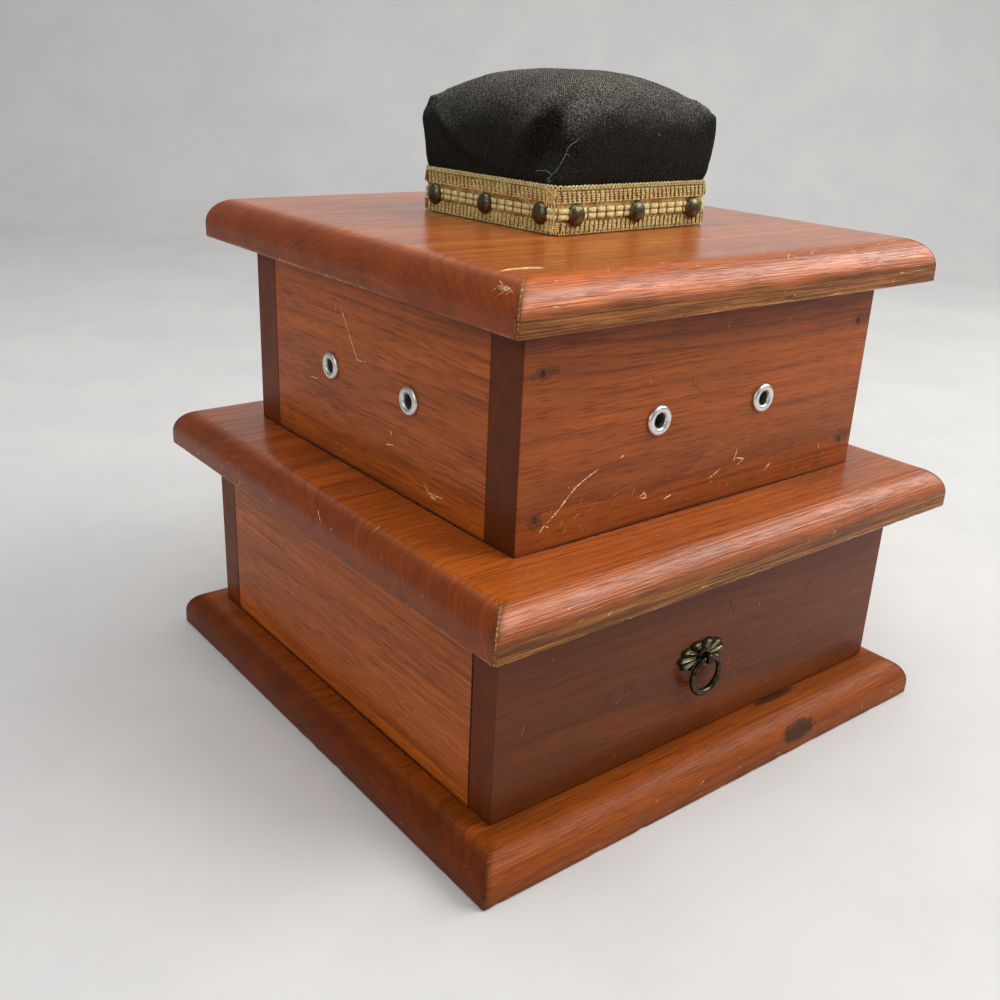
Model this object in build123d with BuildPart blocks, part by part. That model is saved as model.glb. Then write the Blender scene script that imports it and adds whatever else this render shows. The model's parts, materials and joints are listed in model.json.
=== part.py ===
from build123d import *
import os
from math import cos, radians, sin, sqrt

os.makedirs("parts", exist_ok=True)

# Sewing box: a lower box with one drawer and an upper thread box, between three
# rounded-over slabs, with a pincushion on the hinged lid. Millimetres, +Z up.
# The origin is the centre of the underside, the drawer faces -Y.

# ---- Slabs ----------------------------------------------------------------
slab_thickness = 19.0
wide_slab_side = 283.0          # the base slab and the middle slab, both square
lid_side = 248.0
round_over = 12.7               # rounding of each slab's top edges
eased_edge = 1.0                # small rounding of each slab's lower edges

# ---- Lower box ------------------------------------------------------------
lower_width = 248.0
lower_depth = 243.0             # from the drawer's face to the back
lower_height = 88.5
lower_side_wall = 19.0
lower_back_wall = 16.0

# ---- Upper box ------------------------------------------------------------
upper_side = 211.0
upper_height = 91.0
upper_wall = 19.0

# ---- Eyelets that the threads run out through -----------------------------
eyelet_height = 44.0            # centre above the middle slab
eyelet_spacing = 65.0           # between the two eyelets of a wall
eyelet_bore = 3.1
eyelet_barrel = 3.9
eyelet_flange = 6.65
eyelet_dome = 1.8
eyelet_length = 12.0

# ---- Spool pins -----------------------------------------------------------
pin_radius = 3.0
pin_height = 50.0               # above the floor of the upper box
pin_socket = 8.0
pin_wall_distance = 26.0        # from the wall's inner face to the pin's axis

# ---- Nails, fillers and screws --------------------------------------------
nail_radius = 0.9
nail_head_radius = 1.4
nail_head = 1.0
nail_length = 38.0
nail_sink = 1.5                 # how far a nail's head lies under the surface
nail_from_top = 19.0
nail_from_bottom = 14.0
screw_radius = 1.9
screw_head_radius = 3.7
screw_length = 42.0
screw_inset = 46.0              # from a wall's end to its screws
cushion_screw_length = 30.0
cushion_screw_spacing = 44.0
hinge_screw_radius = 1.3
hinge_screw_head_radius = 2.5
hinge_screw_length = 13.0
hinge_screw_spacing = 13.0

# ---- Lid hinges -----------------------------------------------------------
hinge_length = 38.0
hinge_spacing = 124.0           # between the two hinges' middles
leaf_width = 13.0
leaf_thickness = 1.2
knuckle_radius = 2.3
knuckle_count = 5
knuckle_gap = 0.2
hinge_pin_radius = 1.1
barrel_stand_off = 0.5          # from the box's back to the knuckles

# ---- Drawer ---------------------------------------------------------------
drawer_front_wall = 15.0
drawer_side_wall = 12.0
drawer_back_wall = 12.0
drawer_bottom_sheet = 4.0
drawer_side_height = 84.0
drawer_back_room = 5.0          # between the drawer's back and the box's back
groove_depth = 5.0
groove_height = 6.0             # from a side's lower edge to its groove
groove_slack = 0.1
dado_depth = 6.0                # how far the drawer's sides enter its front

# ---- Drop-ring pull -------------------------------------------------------
pull_from_middle = -7.5
pull_height = 42.5              # above the base slab
plate_width = 30.0
plate_height = 15.0
plate_thickness = 1.4
petal_count = 10
petal_radius = 2.8
post_radius = 1.9
collar_radius = 2.9
ring_stand_off = 4.6            # from the drawer's face to the ring's wire
ring_radius = 9.3
ring_wire = 1.2
eye_radius = 2.9
eye_width = 3.0
eye_play = 0.3                  # between the ring's wire and the eye
washer_radius = 4.8
washer_thickness = 0.9
nut_across_flats = 7.0
nut_thickness = 3.0

# ---- Pincushion -----------------------------------------------------------
cushion_off_middle = (2.3, 1.2)
cushion_turn = 2.0              # degrees, anticlockwise from above
block_side = 89.0
block_height = 19.0
block_corner = 2.0
braid_thickness = 1.8
braid_height = 18.4
pad_base_side = 90.0
pad_shoulder_side = 97.0
pad_shoulder_height = 27.0
pad_height = 46.5
pad_corner = 9.0
pad_draw_in = 1.6               # how far a side pulls in between its corners
tacks_per_side = 3
tack_spacing = 37.0
tack_height = 8.6               # axis above the lid
tack_radius = 4.2
tack_dome = 2.2
tack_shank = 0.8
tack_length = 7.0

# ---- Clearances -----------------------------------------------------------
wood_fit = 0.05                 # round a nail, screw, dowel or eyelet in wood
filler_fit = 0.02
mortise_fit = 0.1
running_fit = 0.05              # between a hinge pin and its knuckles
housing_gap = 0.4               # round a hinge's barrel in the lid
drawer_side_gap = 0.75
drawer_front_gap = 0.8          # over and under the drawer's front
soft_gap = 0.3                  # between a soft piece and its neighbours
head_inset = 0.1                # how far a screw's head lies under its surface

# ---- Places that follow from the sizes ------------------------------------
base_top = slab_thickness
mid_bottom = base_top + lower_height
mid_top = mid_bottom + slab_thickness
rim = mid_top + upper_height
lid_top = rim + slab_thickness

lower_face = -lower_depth / 2
lower_back_face = lower_depth / 2
lower_wall_front = lower_face + drawer_front_wall
lower_wall_back = lower_back_face - lower_back_wall
lower_inner = lower_width / 2 - lower_side_wall

upper_face = upper_side / 2
upper_inner = upper_face - upper_wall
pin_line = upper_inner - pin_wall_distance

hinge_axis = upper_face + barrel_stand_off + knuckle_radius
leaf_front = hinge_axis - leaf_width
leaf_back = hinge_axis - knuckle_radius - 1.5 * knuckle_gap
knuckle_bore = hinge_pin_radius + running_fit
knuckle_length = (hinge_length - (knuckle_count - 1) * knuckle_gap) / knuckle_count
hinge_screw_line = (leaf_front + upper_face) / 2
hinge_middles = (-hinge_spacing / 2, hinge_spacing / 2)

drawer_side_face = lower_inner - drawer_side_gap
drawer_inner = drawer_side_face - drawer_side_wall
drawer_rear = lower_wall_back - drawer_back_room
drawer_groove = base_top + groove_height
drawer_bottom_top = drawer_groove + drawer_bottom_sheet
drawer_side_top = base_top + drawer_side_height

pull_z = base_top + pull_height
ring_y = lower_face - ring_stand_off
ring_middle_z = pull_z - ring_radius

cushion_plane = Plane(
    origin=(cushion_off_middle[0], cushion_off_middle[1], lid_top),
    x_dir=(cos(radians(cushion_turn)), sin(radians(cushion_turn)), 0),
    z_dir=(0, 0, 1),
)


# ---- Shared shapes --------------------------------------------------------
def slab(side, bottom):
    """Adds a square slab, rounded over above and eased below."""
    with BuildSketch(Plane.XY.offset(bottom)) as outline:
        Rectangle(side, side)
    board = extrude(outline.sketch, amount=slab_thickness)
    fillet(board.faces().sort_by(Axis.Z)[-1].edges(), radius=round_over)
    under = faces().filter_by(GeomType.PLANE).sort_by(Axis.Z)[0]
    fillet(under.edges(), radius=eased_edge)


def block(low, high, mode=Mode.ADD):
    """Adds or cuts a box between two opposite corners."""
    size = [b - a for a, b in zip(low, high)]
    middle = Vector(*[(a + b) / 2 for a, b in zip(low, high)])
    with Locations(middle):
        Box(*size, mode=mode)


def rod(radius, depth, mode=Mode.ADD):
    """Adds or cuts a rod that goes down from each place."""
    Cylinder(radius, depth, align=(Align.CENTER, Align.CENTER, Align.MAX), mode=mode)


def wall_plane(turn, distance, height):
    """Plane on an outer face: turn 0 is the front, 90 the right, 180 the back."""
    outwards = Vector(0, -1, 0).rotate(Axis.Z, turn)
    along = Vector(1, 0, 0).rotate(Axis.Z, turn)
    return Plane(origin=outwards * distance + Vector(0, 0, height), x_dir=along, z_dir=outwards)


def nail_places(face, bottom, top, half_spacing):
    """Planes of the nails of one face, near its four corners."""
    turn = 0 if face < 0 else 180
    heights = (bottom + nail_from_bottom, top - nail_from_top)
    return [
        wall_plane(turn, abs(face), height).shift_origin((x, face, height))
        for x in (-half_spacing, half_spacing)
        for height in heights
    ]


def nail():
    """Adds a sunk finishing nail at each place."""
    with Locations((0, 0, -nail_sink)):
        rod(nail_head_radius, nail_head)
        rod(nail_radius, nail_length)


def nail_hole():
    """Cuts a nail's hole at each place."""
    rod(nail_head_radius + wood_fit, nail_sink + nail_head, mode=Mode.SUBTRACT)
    rod(nail_radius + wood_fit, nail_sink + nail_length + wood_fit, mode=Mode.SUBTRACT)


def filler():
    """Adds the filler over a nail's head at each place."""
    rod(nail_head_radius + wood_fit - filler_fit, nail_sink)


def screw(radius, head_radius, length, fit=0.0, inset=head_inset, mode=Mode.ADD):
    """Adds a countersunk screw at each place, or cuts its hole with a fit."""
    head = head_radius - radius
    with Locations((0, 0, -inset)):
        Cone(
            radius + fit,
            head_radius + fit,
            head,
            align=(Align.CENTER, Align.CENTER, Align.MAX),
            mode=mode,
        )
        rod(radius + fit, length + fit, mode=mode)
        if fit > 0:
            Cylinder(
                head_radius + fit,
                inset,
                align=(Align.CENTER, Align.CENTER, Align.MIN),
                mode=mode,
            )


def upward(x, y, z):
    """Place of a screw that is driven upwards from a lower face."""
    return Location(Plane(origin=(x, y, z), x_dir=(1, 0, 0), z_dir=(0, 0, -1)))


# ---- Screw places ---------------------------------------------------------
lower_wall_middle = lower_inner + lower_side_wall / 2
lower_back_middle = lower_wall_back + lower_back_wall / 2
base_screw_places = [
    upward(x, y, 0)
    for x in (-lower_wall_middle, lower_wall_middle)
    for y in (lower_wall_front + screw_inset, lower_wall_back - screw_inset)
] + [upward(x, lower_back_middle, 0) for x in (-screw_inset, screw_inset)]

upper_wall_middle = upper_inner + upper_wall / 2
mid_screw_places = [
    upward(x, y, mid_bottom)
    for x in (-screw_inset, screw_inset)
    for y in (-upper_wall_middle, upper_wall_middle)
] + [
    upward(x, y, mid_bottom)
    for x in (-upper_wall_middle, upper_wall_middle)
    for y in (-screw_inset, screw_inset)
]

cushion_screw_places = [
    upward(cushion_off_middle[0] + x, cushion_off_middle[1], rim)
    for x in (-cushion_screw_spacing / 2, cushion_screw_spacing / 2)
]

hinge_screw_spots = [
    (middle + step * hinge_screw_spacing, hinge_screw_line)
    for middle in hinge_middles
    for step in (-1, 0, 1)
]
case_screw_places = [Location((x, y, rim)) for x, y in hinge_screw_spots]
lid_screw_places = [upward(x, y, rim) for x, y in hinge_screw_spots]

pin_places = [
    (x, y)
    for a in (-eyelet_spacing / 2, eyelet_spacing / 2)
    for b in (-pin_line, pin_line)
    for x, y in ((a, b), (b, a))
]

upper_nail_half = upper_wall_middle
lower_nail_half = lower_wall_middle
upper_front_nails = nail_places(-upper_face, mid_top, rim, upper_nail_half)
upper_back_nails = nail_places(upper_face, mid_top, rim, upper_nail_half)
lower_back_nails = nail_places(lower_back_face, base_top, mid_bottom, lower_nail_half)


# ---- Base and lower box ---------------------------------------------------
with BuildPart() as base_board:
    slab(wide_slab_side, 0)
    with Locations(*base_screw_places):
        screw(screw_radius, screw_head_radius, screw_length, wood_fit, mode=Mode.SUBTRACT)
base_board.part.label = "base_board"
export_step(base_board.part, "parts/base_board.step")

with BuildPart() as lower_side_left:
    block(
        (-lower_width / 2, lower_wall_front, base_top),
        (-lower_inner, lower_wall_back, mid_bottom),
    )
    with Locations(*lower_back_nails):
        nail_hole()
    with Locations(*base_screw_places):
        screw(screw_radius, screw_head_radius, screw_length, wood_fit, mode=Mode.SUBTRACT)
lower_side_left.part.label = "lower_side_left"
export_step(lower_side_left.part, "parts/lower_side_left.step")

with BuildPart() as lower_side_right:
    mirror(lower_side_left.part, about=Plane.YZ)
lower_side_right.part.label = "lower_side_right"
export_step(lower_side_right.part, "parts/lower_side_right.step")

with BuildPart() as lower_back:
    block(
        (-lower_width / 2, lower_wall_back, base_top),
        (lower_width / 2, lower_back_face, mid_bottom),
    )
    with Locations(*lower_back_nails):
        nail_hole()
    with Locations(*base_screw_places):
        screw(screw_radius, screw_head_radius, screw_length, wood_fit, mode=Mode.SUBTRACT)
lower_back.part.label = "lower_back"
export_step(lower_back.part, "parts/lower_back.step")

with BuildPart() as lower_nails:
    with Locations(*lower_back_nails):
        nail()
lower_nails.part.label = "lower_nails"
export_step(lower_nails.part, "parts/lower_nails.step")

with BuildPart() as lower_nail_fillers:
    with Locations(*lower_back_nails):
        filler()
lower_nail_fillers.part.label = "lower_nail_fillers"
export_step(lower_nail_fillers.part, "parts/lower_nail_fillers.step")

with BuildPart() as base_screws:
    with Locations(*base_screw_places):
        screw(screw_radius, screw_head_radius, screw_length)
base_screws.part.label = "base_screws"
export_step(base_screws.part, "parts/base_screws.step")


# ---- Middle slab and spool pins -------------------------------------------
with BuildPart() as mid_board:
    slab(wide_slab_side, mid_bottom)
    with Locations(*mid_screw_places):
        screw(screw_radius, screw_head_radius, screw_length, wood_fit, mode=Mode.SUBTRACT)
    with Locations(*[(x, y, mid_top) for x, y in pin_places]):
        rod(pin_radius + wood_fit, pin_socket, mode=Mode.SUBTRACT)
mid_board.part.label = "mid_board"
export_step(mid_board.part, "parts/mid_board.step")

with BuildPart() as mid_screws:
    with Locations(*mid_screw_places):
        screw(screw_radius, screw_head_radius, screw_length)
mid_screws.part.label = "mid_screws"
export_step(mid_screws.part, "parts/mid_screws.step")

with BuildPart() as spool_pins:
    with Locations(*[(x, y, mid_top + pin_height) for x, y in pin_places]):
        rod(pin_radius, pin_height + pin_socket)
    fillet(edges().filter_by(GeomType.CIRCLE).group_by(Axis.Z)[-1], radius=pin_radius / 2)
spool_pins.part.label = "spool_pins"
export_step(spool_pins.part, "parts/spool_pins.step")


# ---- Upper box ------------------------------------------------------------
def eyelet_places(turn):
    """Places of the two eyelets of a wall, facing outwards."""
    wall = wall_plane(turn, upper_face, mid_top + eyelet_height)
    return [
        Location(Plane(origin=wall.from_local_coords((x, 0, 0)), x_dir=wall.x_dir, z_dir=wall.z_dir))
        for x in (-eyelet_spacing / 2, eyelet_spacing / 2)
    ]


def upper_board(turn):
    """Adds an upper board: the front and back run full width, the sides fit between."""
    across = upper_face if turn % 180 == 0 else upper_inner
    wall = wall_plane(turn, upper_face, mid_top)
    with BuildSketch(wall) as outline:
        with Locations((0, upper_height / 2)):
            Rectangle(2 * across, upper_height)
    extrude(outline.sketch, amount=-upper_wall)
    with Locations(*eyelet_places(turn)):
        rod(eyelet_barrel + wood_fit, upper_wall, mode=Mode.SUBTRACT)
    with Locations(*mid_screw_places):
        screw(screw_radius, screw_head_radius, screw_length, wood_fit, mode=Mode.SUBTRACT)
    with Locations(*upper_front_nails, *upper_back_nails):
        nail_hole()


with BuildPart() as upper_front:
    upper_board(0)
upper_front.part.label = "upper_front"
export_step(upper_front.part, "parts/upper_front.step")

with BuildPart() as upper_side_right:
    upper_board(90)
upper_side_right.part.label = "upper_side_right"
export_step(upper_side_right.part, "parts/upper_side_right.step")

with BuildPart() as upper_side_left:
    upper_board(270)
upper_side_left.part.label = "upper_side_left"
export_step(upper_side_left.part, "parts/upper_side_left.step")

with BuildPart() as upper_back:
    upper_board(180)
    for middle in hinge_middles:
        block(
            (middle - hinge_length / 2 - mortise_fit, leaf_front - mortise_fit, rim - leaf_thickness),
            (middle + hinge_length / 2 + mortise_fit, upper_face, rim),
            mode=Mode.SUBTRACT,
        )
    with Locations(*case_screw_places):
        screw(
            hinge_screw_radius,
            hinge_screw_head_radius,
            hinge_screw_length,
            wood_fit,
            mode=Mode.SUBTRACT,
        )
upper_back.part.label = "upper_back"
export_step(upper_back.part, "parts/upper_back.step")

with BuildPart() as upper_nails:
    with Locations(*upper_front_nails, *upper_back_nails):
        nail()
upper_nails.part.label = "upper_nails"
export_step(upper_nails.part, "parts/upper_nails.step")

with BuildPart() as upper_nail_fillers:
    with Locations(*upper_front_nails, *upper_back_nails):
        filler()
upper_nail_fillers.part.label = "upper_nail_fillers"
export_step(upper_nail_fillers.part, "parts/upper_nail_fillers.step")

# One eyelet: a domed flange outside the wall and a barrel inside it.
with BuildPart() as eyelet:
    with BuildSketch(Plane.XZ) as eyelet_section:
        with BuildLine():
            Polyline(
                (eyelet_flange, 0),
                (eyelet_barrel, 0),
                (eyelet_barrel, -eyelet_length),
                (eyelet_bore, -eyelet_length),
                (eyelet_bore, eyelet_dome / 4),
            )
            ThreePointArc(
                (eyelet_bore, eyelet_dome / 4),
                ((eyelet_bore + eyelet_flange) / 2, eyelet_dome),
                (eyelet_flange, 0),
            )
        make_face()
    revolve(axis=Axis.Z)

for wall_name, turn in (("front", 0), ("right", 90), ("back", 180), ("left", 270)):
    with BuildPart() as eyelets:
        with Locations(*eyelet_places(turn)):
            add(eyelet.part)
    eyelets.part.label = f"eyelets_{wall_name}"
    export_step(eyelets.part, f"parts/eyelets_{wall_name}.step")


# ---- Lid and its hinges ---------------------------------------------------
with BuildPart() as lid_board:
    slab(lid_side, rim)
    for middle in hinge_middles:
        block(
            (middle - hinge_length / 2 - mortise_fit, leaf_front - mortise_fit, rim),
            (middle + hinge_length / 2 + mortise_fit, hinge_axis, rim + leaf_thickness),
            mode=Mode.SUBTRACT,
        )
        block(
            (
                middle - hinge_length / 2 - housing_gap,
                hinge_axis - knuckle_radius - housing_gap,
                rim,
            ),
            (
                middle + hinge_length / 2 + housing_gap,
                hinge_axis + knuckle_radius + housing_gap,
                rim + knuckle_radius + housing_gap,
            ),
            mode=Mode.SUBTRACT,
        )
    with Locations(*lid_screw_places):
        screw(
            hinge_screw_radius,
            hinge_screw_head_radius,
            hinge_screw_length,
            wood_fit,
            mode=Mode.SUBTRACT,
        )
    with Locations(*cushion_screw_places):
        screw(screw_radius, screw_head_radius, cushion_screw_length, wood_fit, mode=Mode.SUBTRACT)
lid_board.part.label = "lid_board"
export_step(lid_board.part, "parts/lid_board.step")


def hinge_leaves(low, high, first_knuckle, screw_places):
    """Adds both hinges' leaves between two heights, with every second knuckle."""
    for middle in hinge_middles:
        start = middle - hinge_length / 2
        block((start, leaf_front, low), (start + hinge_length, leaf_back, high))
        for turn in range(first_knuckle, knuckle_count, 2):
            left = start + turn * (knuckle_length + knuckle_gap)
            block(
                (left, leaf_back, low),
                (left + knuckle_length, hinge_axis - (knuckle_bore + knuckle_radius) / 2, high),
            )
            with Locations(Location((left + knuckle_length / 2, hinge_axis, rim), (0, 90, 0))):
                Cylinder(knuckle_radius, knuckle_length)
                Cylinder(knuckle_bore, knuckle_length, mode=Mode.SUBTRACT)
    with Locations(*screw_places):
        screw(
            hinge_screw_radius,
            hinge_screw_head_radius,
            hinge_screw_length,
            wood_fit,
            mode=Mode.SUBTRACT,
        )


with BuildPart() as hinge_case_leaves:
    hinge_leaves(rim - leaf_thickness, rim, 0, case_screw_places)
hinge_case_leaves.part.label = "hinge_case_leaves"
export_step(hinge_case_leaves.part, "parts/hinge_case_leaves.step")

with BuildPart() as hinge_lid_leaves:
    hinge_leaves(rim, rim + leaf_thickness, 1, lid_screw_places)
hinge_lid_leaves.part.label = "hinge_lid_leaves"
export_step(hinge_lid_leaves.part, "parts/hinge_lid_leaves.step")

with BuildPart() as hinge_pins:
    with Locations(*[Location((middle, hinge_axis, rim), (0, 90, 0)) for middle in hinge_middles]):
        Cylinder(hinge_pin_radius, hinge_length)
hinge_pins.part.label = "hinge_pins"
export_step(hinge_pins.part, "parts/hinge_pins.step")

with BuildPart() as hinge_case_screws:
    with Locations(*case_screw_places):
        screw(hinge_screw_radius, hinge_screw_head_radius, hinge_screw_length)
hinge_case_screws.part.label = "hinge_case_screws"
export_step(hinge_case_screws.part, "parts/hinge_case_screws.step")

with BuildPart() as hinge_lid_screws:
    with Locations(*lid_screw_places):
        screw(hinge_screw_radius, hinge_screw_head_radius, hinge_screw_length)
hinge_lid_screws.part.label = "hinge_lid_screws"
export_step(hinge_lid_screws.part, "parts/hinge_lid_screws.step")


# ---- Drawer ---------------------------------------------------------------
front_low = base_top + drawer_front_gap
front_high = mid_bottom - drawer_front_gap
front_inside = lower_face + drawer_front_wall
pull_place = Location(
    Plane(origin=(pull_from_middle, lower_face, pull_z), x_dir=(1, 0, 0), z_dir=(0, -1, 0))
)

with BuildPart() as drawer_front:
    block((-lower_width / 2, lower_face, front_low), (lower_width / 2, front_inside, front_high))
    for x in (-drawer_inner - drawer_side_wall, drawer_inner):
        block(
            (x, front_inside - dado_depth, front_low),
            (x + drawer_side_wall, front_inside, drawer_side_top),
            mode=Mode.SUBTRACT,
        )
    block(
        (-drawer_inner, front_inside - groove_depth, drawer_groove),
        (drawer_inner, front_inside, drawer_bottom_top + groove_slack),
        mode=Mode.SUBTRACT,
    )
    with Locations(pull_place):
        rod(post_radius + wood_fit, drawer_front_wall, mode=Mode.SUBTRACT)
drawer_front.part.label = "drawer_front"
export_step(drawer_front.part, "parts/drawer_front.step")

drawer_nail_places = [
    Location(
        Plane(
            origin=(side * drawer_side_face, drawer_rear - drawer_back_wall / 2, z),
            x_dir=(0, 1, 0),
            z_dir=(side, 0, 0),
        )
    )
    for side in (-1, 1)
    for z in (drawer_bottom_top + nail_from_bottom, drawer_side_top - nail_from_top)
]

with BuildPart() as drawer_side_left:
    block(
        (-drawer_side_face, front_inside, base_top),
        (-drawer_inner, drawer_rear, drawer_side_top),
    )
    block(
        (-drawer_side_face, front_inside - dado_depth, front_low),
        (-drawer_inner, front_inside, drawer_side_top),
    )
    block(
        (-drawer_inner - groove_depth, front_inside - dado_depth, drawer_groove),
        (-drawer_inner, drawer_rear, drawer_bottom_top + groove_slack),
        mode=Mode.SUBTRACT,
    )
    with Locations(*drawer_nail_places):
        nail_hole()
drawer_side_left.part.label = "drawer_side_left"
export_step(drawer_side_left.part, "parts/drawer_side_left.step")

with BuildPart() as drawer_side_right:
    mirror(drawer_side_left.part, about=Plane.YZ)
drawer_side_right.part.label = "drawer_side_right"
export_step(drawer_side_right.part, "parts/drawer_side_right.step")

with BuildPart() as drawer_back:
    block(
        (-drawer_inner, drawer_rear - drawer_back_wall, drawer_bottom_top + groove_slack),
        (drawer_inner, drawer_rear, drawer_side_top),
    )
    with Locations(*drawer_nail_places):
        nail_hole()
drawer_back.part.label = "drawer_back"
export_step(drawer_back.part, "parts/drawer_back.step")

with BuildPart() as drawer_bottom:
    block(
        (-drawer_inner - groove_depth + soft_gap, front_inside, drawer_groove),
        (drawer_inner + groove_depth - soft_gap, drawer_rear, drawer_bottom_top),
    )
    block(
        (-drawer_inner + soft_gap, front_inside - groove_depth + soft_gap, drawer_groove),
        (drawer_inner - soft_gap, front_inside, drawer_bottom_top),
    )
drawer_bottom.part.label = "drawer_bottom"
export_step(drawer_bottom.part, "parts/drawer_bottom.step")

with BuildPart() as drawer_nails:
    with Locations(*drawer_nail_places):
        nail()
drawer_nails.part.label = "drawer_nails"
export_step(drawer_nails.part, "parts/drawer_nails.step")


# ---- Drop-ring pull -------------------------------------------------------
with BuildPart() as pull_backplate:
    with BuildSketch(Plane(pull_place)):
        Ellipse(plate_width / 2 - petal_radius, plate_height / 2 - petal_radius / 2)
        for petal in range(petal_count):
            angle = radians(360 * petal / petal_count)
            across = (plate_width / 2 - petal_radius) * cos(angle)
            up = (plate_height / 2 - petal_radius) * sin(angle)
            with Locations((across, up)):
                Circle(petal_radius)
        Circle(post_radius + wood_fit, mode=Mode.SUBTRACT)
    extrude(amount=plate_thickness)
    rounded = faces().filter_by(Plane.XZ).sort_by(Axis.Y)[0]
    chamfer(rounded.outer_wire().edges(), length=plate_thickness / 4)
pull_backplate.part.label = "pull_backplate"
export_step(pull_backplate.part, "parts/pull_backplate.step")

post_end = drawer_front_wall + washer_thickness + nut_thickness + 1
with BuildPart() as pull_post:
    with Locations(pull_place):
        with Locations((0, 0, plate_thickness)):
            Cylinder(
                collar_radius,
                ring_stand_off - plate_thickness,
                align=(Align.CENTER, Align.CENTER, Align.MIN),
            )
            rod(post_radius, post_end + plate_thickness)
    with Locations(Location((pull_from_middle, ring_y, pull_z), (0, 90, 0))):
        Cylinder(eye_radius, eye_width)
    for side in (-1, 1):
        block(
            (
                pull_from_middle + side * (eye_width / 2 + collar_radius) - collar_radius,
                ring_y - collar_radius,
                pull_z - collar_radius,
            ),
            (
                pull_from_middle + side * (eye_width / 2 + collar_radius) + collar_radius,
                ring_y + ring_wire + eye_play,
                pull_z + collar_radius,
            ),
            mode=Mode.SUBTRACT,
        )
    with Locations(Location((pull_from_middle, ring_y, pull_z), (0, 90, 0))):
        Cylinder(ring_wire + eye_play, 2 * collar_radius, mode=Mode.SUBTRACT)
pull_post.part.label = "pull_post"
export_step(pull_post.part, "parts/pull_post.step")

with BuildPart() as pull_washer:
    with BuildSketch(Plane(pull_place).offset(-drawer_front_wall)):
        Circle(washer_radius)
        Circle(post_radius + wood_fit, mode=Mode.SUBTRACT)
    extrude(amount=-washer_thickness)
pull_washer.part.label = "pull_washer"
export_step(pull_washer.part, "parts/pull_washer.step")

with BuildPart() as pull_nut:
    with BuildSketch(Plane(pull_place).offset(-drawer_front_wall - washer_thickness)):
        RegularPolygon(nut_across_flats / 2, 6, major_radius=False)
        Circle(post_radius + wood_fit, mode=Mode.SUBTRACT)
    extrude(amount=-nut_thickness)
pull_nut.part.label = "pull_nut"
export_step(pull_nut.part, "parts/pull_nut.step")

with BuildPart() as pull_ring:
    with Locations(Location((pull_from_middle, ring_y, ring_middle_z), (90, 0, 0))):
        Torus(ring_radius, ring_wire)
pull_ring.part.label = "pull_ring"
export_step(pull_ring.part, "parts/pull_ring.step")


# ---- Pincushion -----------------------------------------------------------
def cushion_tack_places(distance):
    """Places of the tacks, on the cushion's four sides, facing outwards."""
    places = []
    for turn in (0, 90, 180, 270):
        side = wall_plane(turn, distance, tack_height)
        for number in range(tacks_per_side):
            along = (number - (tacks_per_side - 1) / 2) * tack_spacing
            spot = Plane(
                origin=side.from_local_coords((along, 0, 0)), x_dir=side.x_dir, z_dir=side.z_dir
            )
            places.append(cushion_plane.location * Location(spot))
    return places


braid_face = block_side / 2 + braid_thickness
tack_places = cushion_tack_places(braid_face)


def tack_holes():
    """Cuts the tacks' holes."""
    with Locations(*tack_places):
        rod(tack_shank + wood_fit, tack_length + wood_fit, mode=Mode.SUBTRACT)


with BuildPart() as cushion_block:
    with BuildSketch(cushion_plane):
        RectangleRounded(block_side, block_side, block_corner)
    extrude(amount=block_height)
    tack_holes()
    with Locations(*cushion_screw_places):
        screw(screw_radius, screw_head_radius, cushion_screw_length, wood_fit, mode=Mode.SUBTRACT)
cushion_block.part.label = "cushion_block"
export_step(cushion_block.part, "parts/cushion_block.step")

with BuildPart() as cushion_screws:
    with Locations(*cushion_screw_places):
        screw(screw_radius, screw_head_radius, cushion_screw_length)
cushion_screws.part.label = "cushion_screws"
export_step(cushion_screws.part, "parts/cushion_screws.step")

with BuildPart() as cushion_braid:
    with BuildSketch(cushion_plane):
        RectangleRounded(2 * braid_face, 2 * braid_face, block_corner + braid_thickness)
        RectangleRounded(block_side, block_side, block_corner, mode=Mode.SUBTRACT)
    extrude(amount=braid_height)
    tack_holes()
cushion_braid.part.label = "cushion_braid"
export_step(cushion_braid.part, "parts/cushion_braid.step")

tack_sphere = (tack_radius**2 + tack_dome**2) / (2 * tack_dome)
with BuildPart() as tack:
    with BuildSketch(Plane.XZ):
        with BuildLine():
            Polyline(
                (0, tack_dome),
                (0, -tack_length),
                (tack_shank, -tack_length),
                (tack_shank, 0),
                (tack_radius, 0),
            )
            RadiusArc((tack_radius, 0), (0, tack_dome), -tack_sphere)
        make_face()
    revolve(axis=Axis.Z)

with BuildPart() as cushion_tacks:
    with Locations(*tack_places):
        add(tack.part)
cushion_tacks.part.label = "cushion_tacks"
export_step(cushion_tacks.part, "parts/cushion_tacks.step")


def pad_outline(height, side, corner, draw_in):
    """Sketch of the pad at a height: rounded corners, sides drawn in between them."""
    half = side / 2
    flat = half - corner
    bend = corner * (1 - 1 / sqrt(2))
    with BuildSketch(cushion_plane.offset(block_height + height)) as outline:
        with BuildLine():
            for turn in (0, 90, 180, 270):
                start, middle, end, mid_corner, next_start = (
                    Vector(*spot).rotate(Axis.Z, turn)
                    for spot in (
                        (-flat, -half, 0),
                        (0, -half + draw_in, 0),
                        (flat, -half, 0),
                        (half - bend, -half + bend, 0),
                        (half, -flat, 0),
                    )
                )
                ThreePointArc(start, middle, end)
                ThreePointArc(end, mid_corner, next_start)
        make_face()
    return outline.sketch


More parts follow.
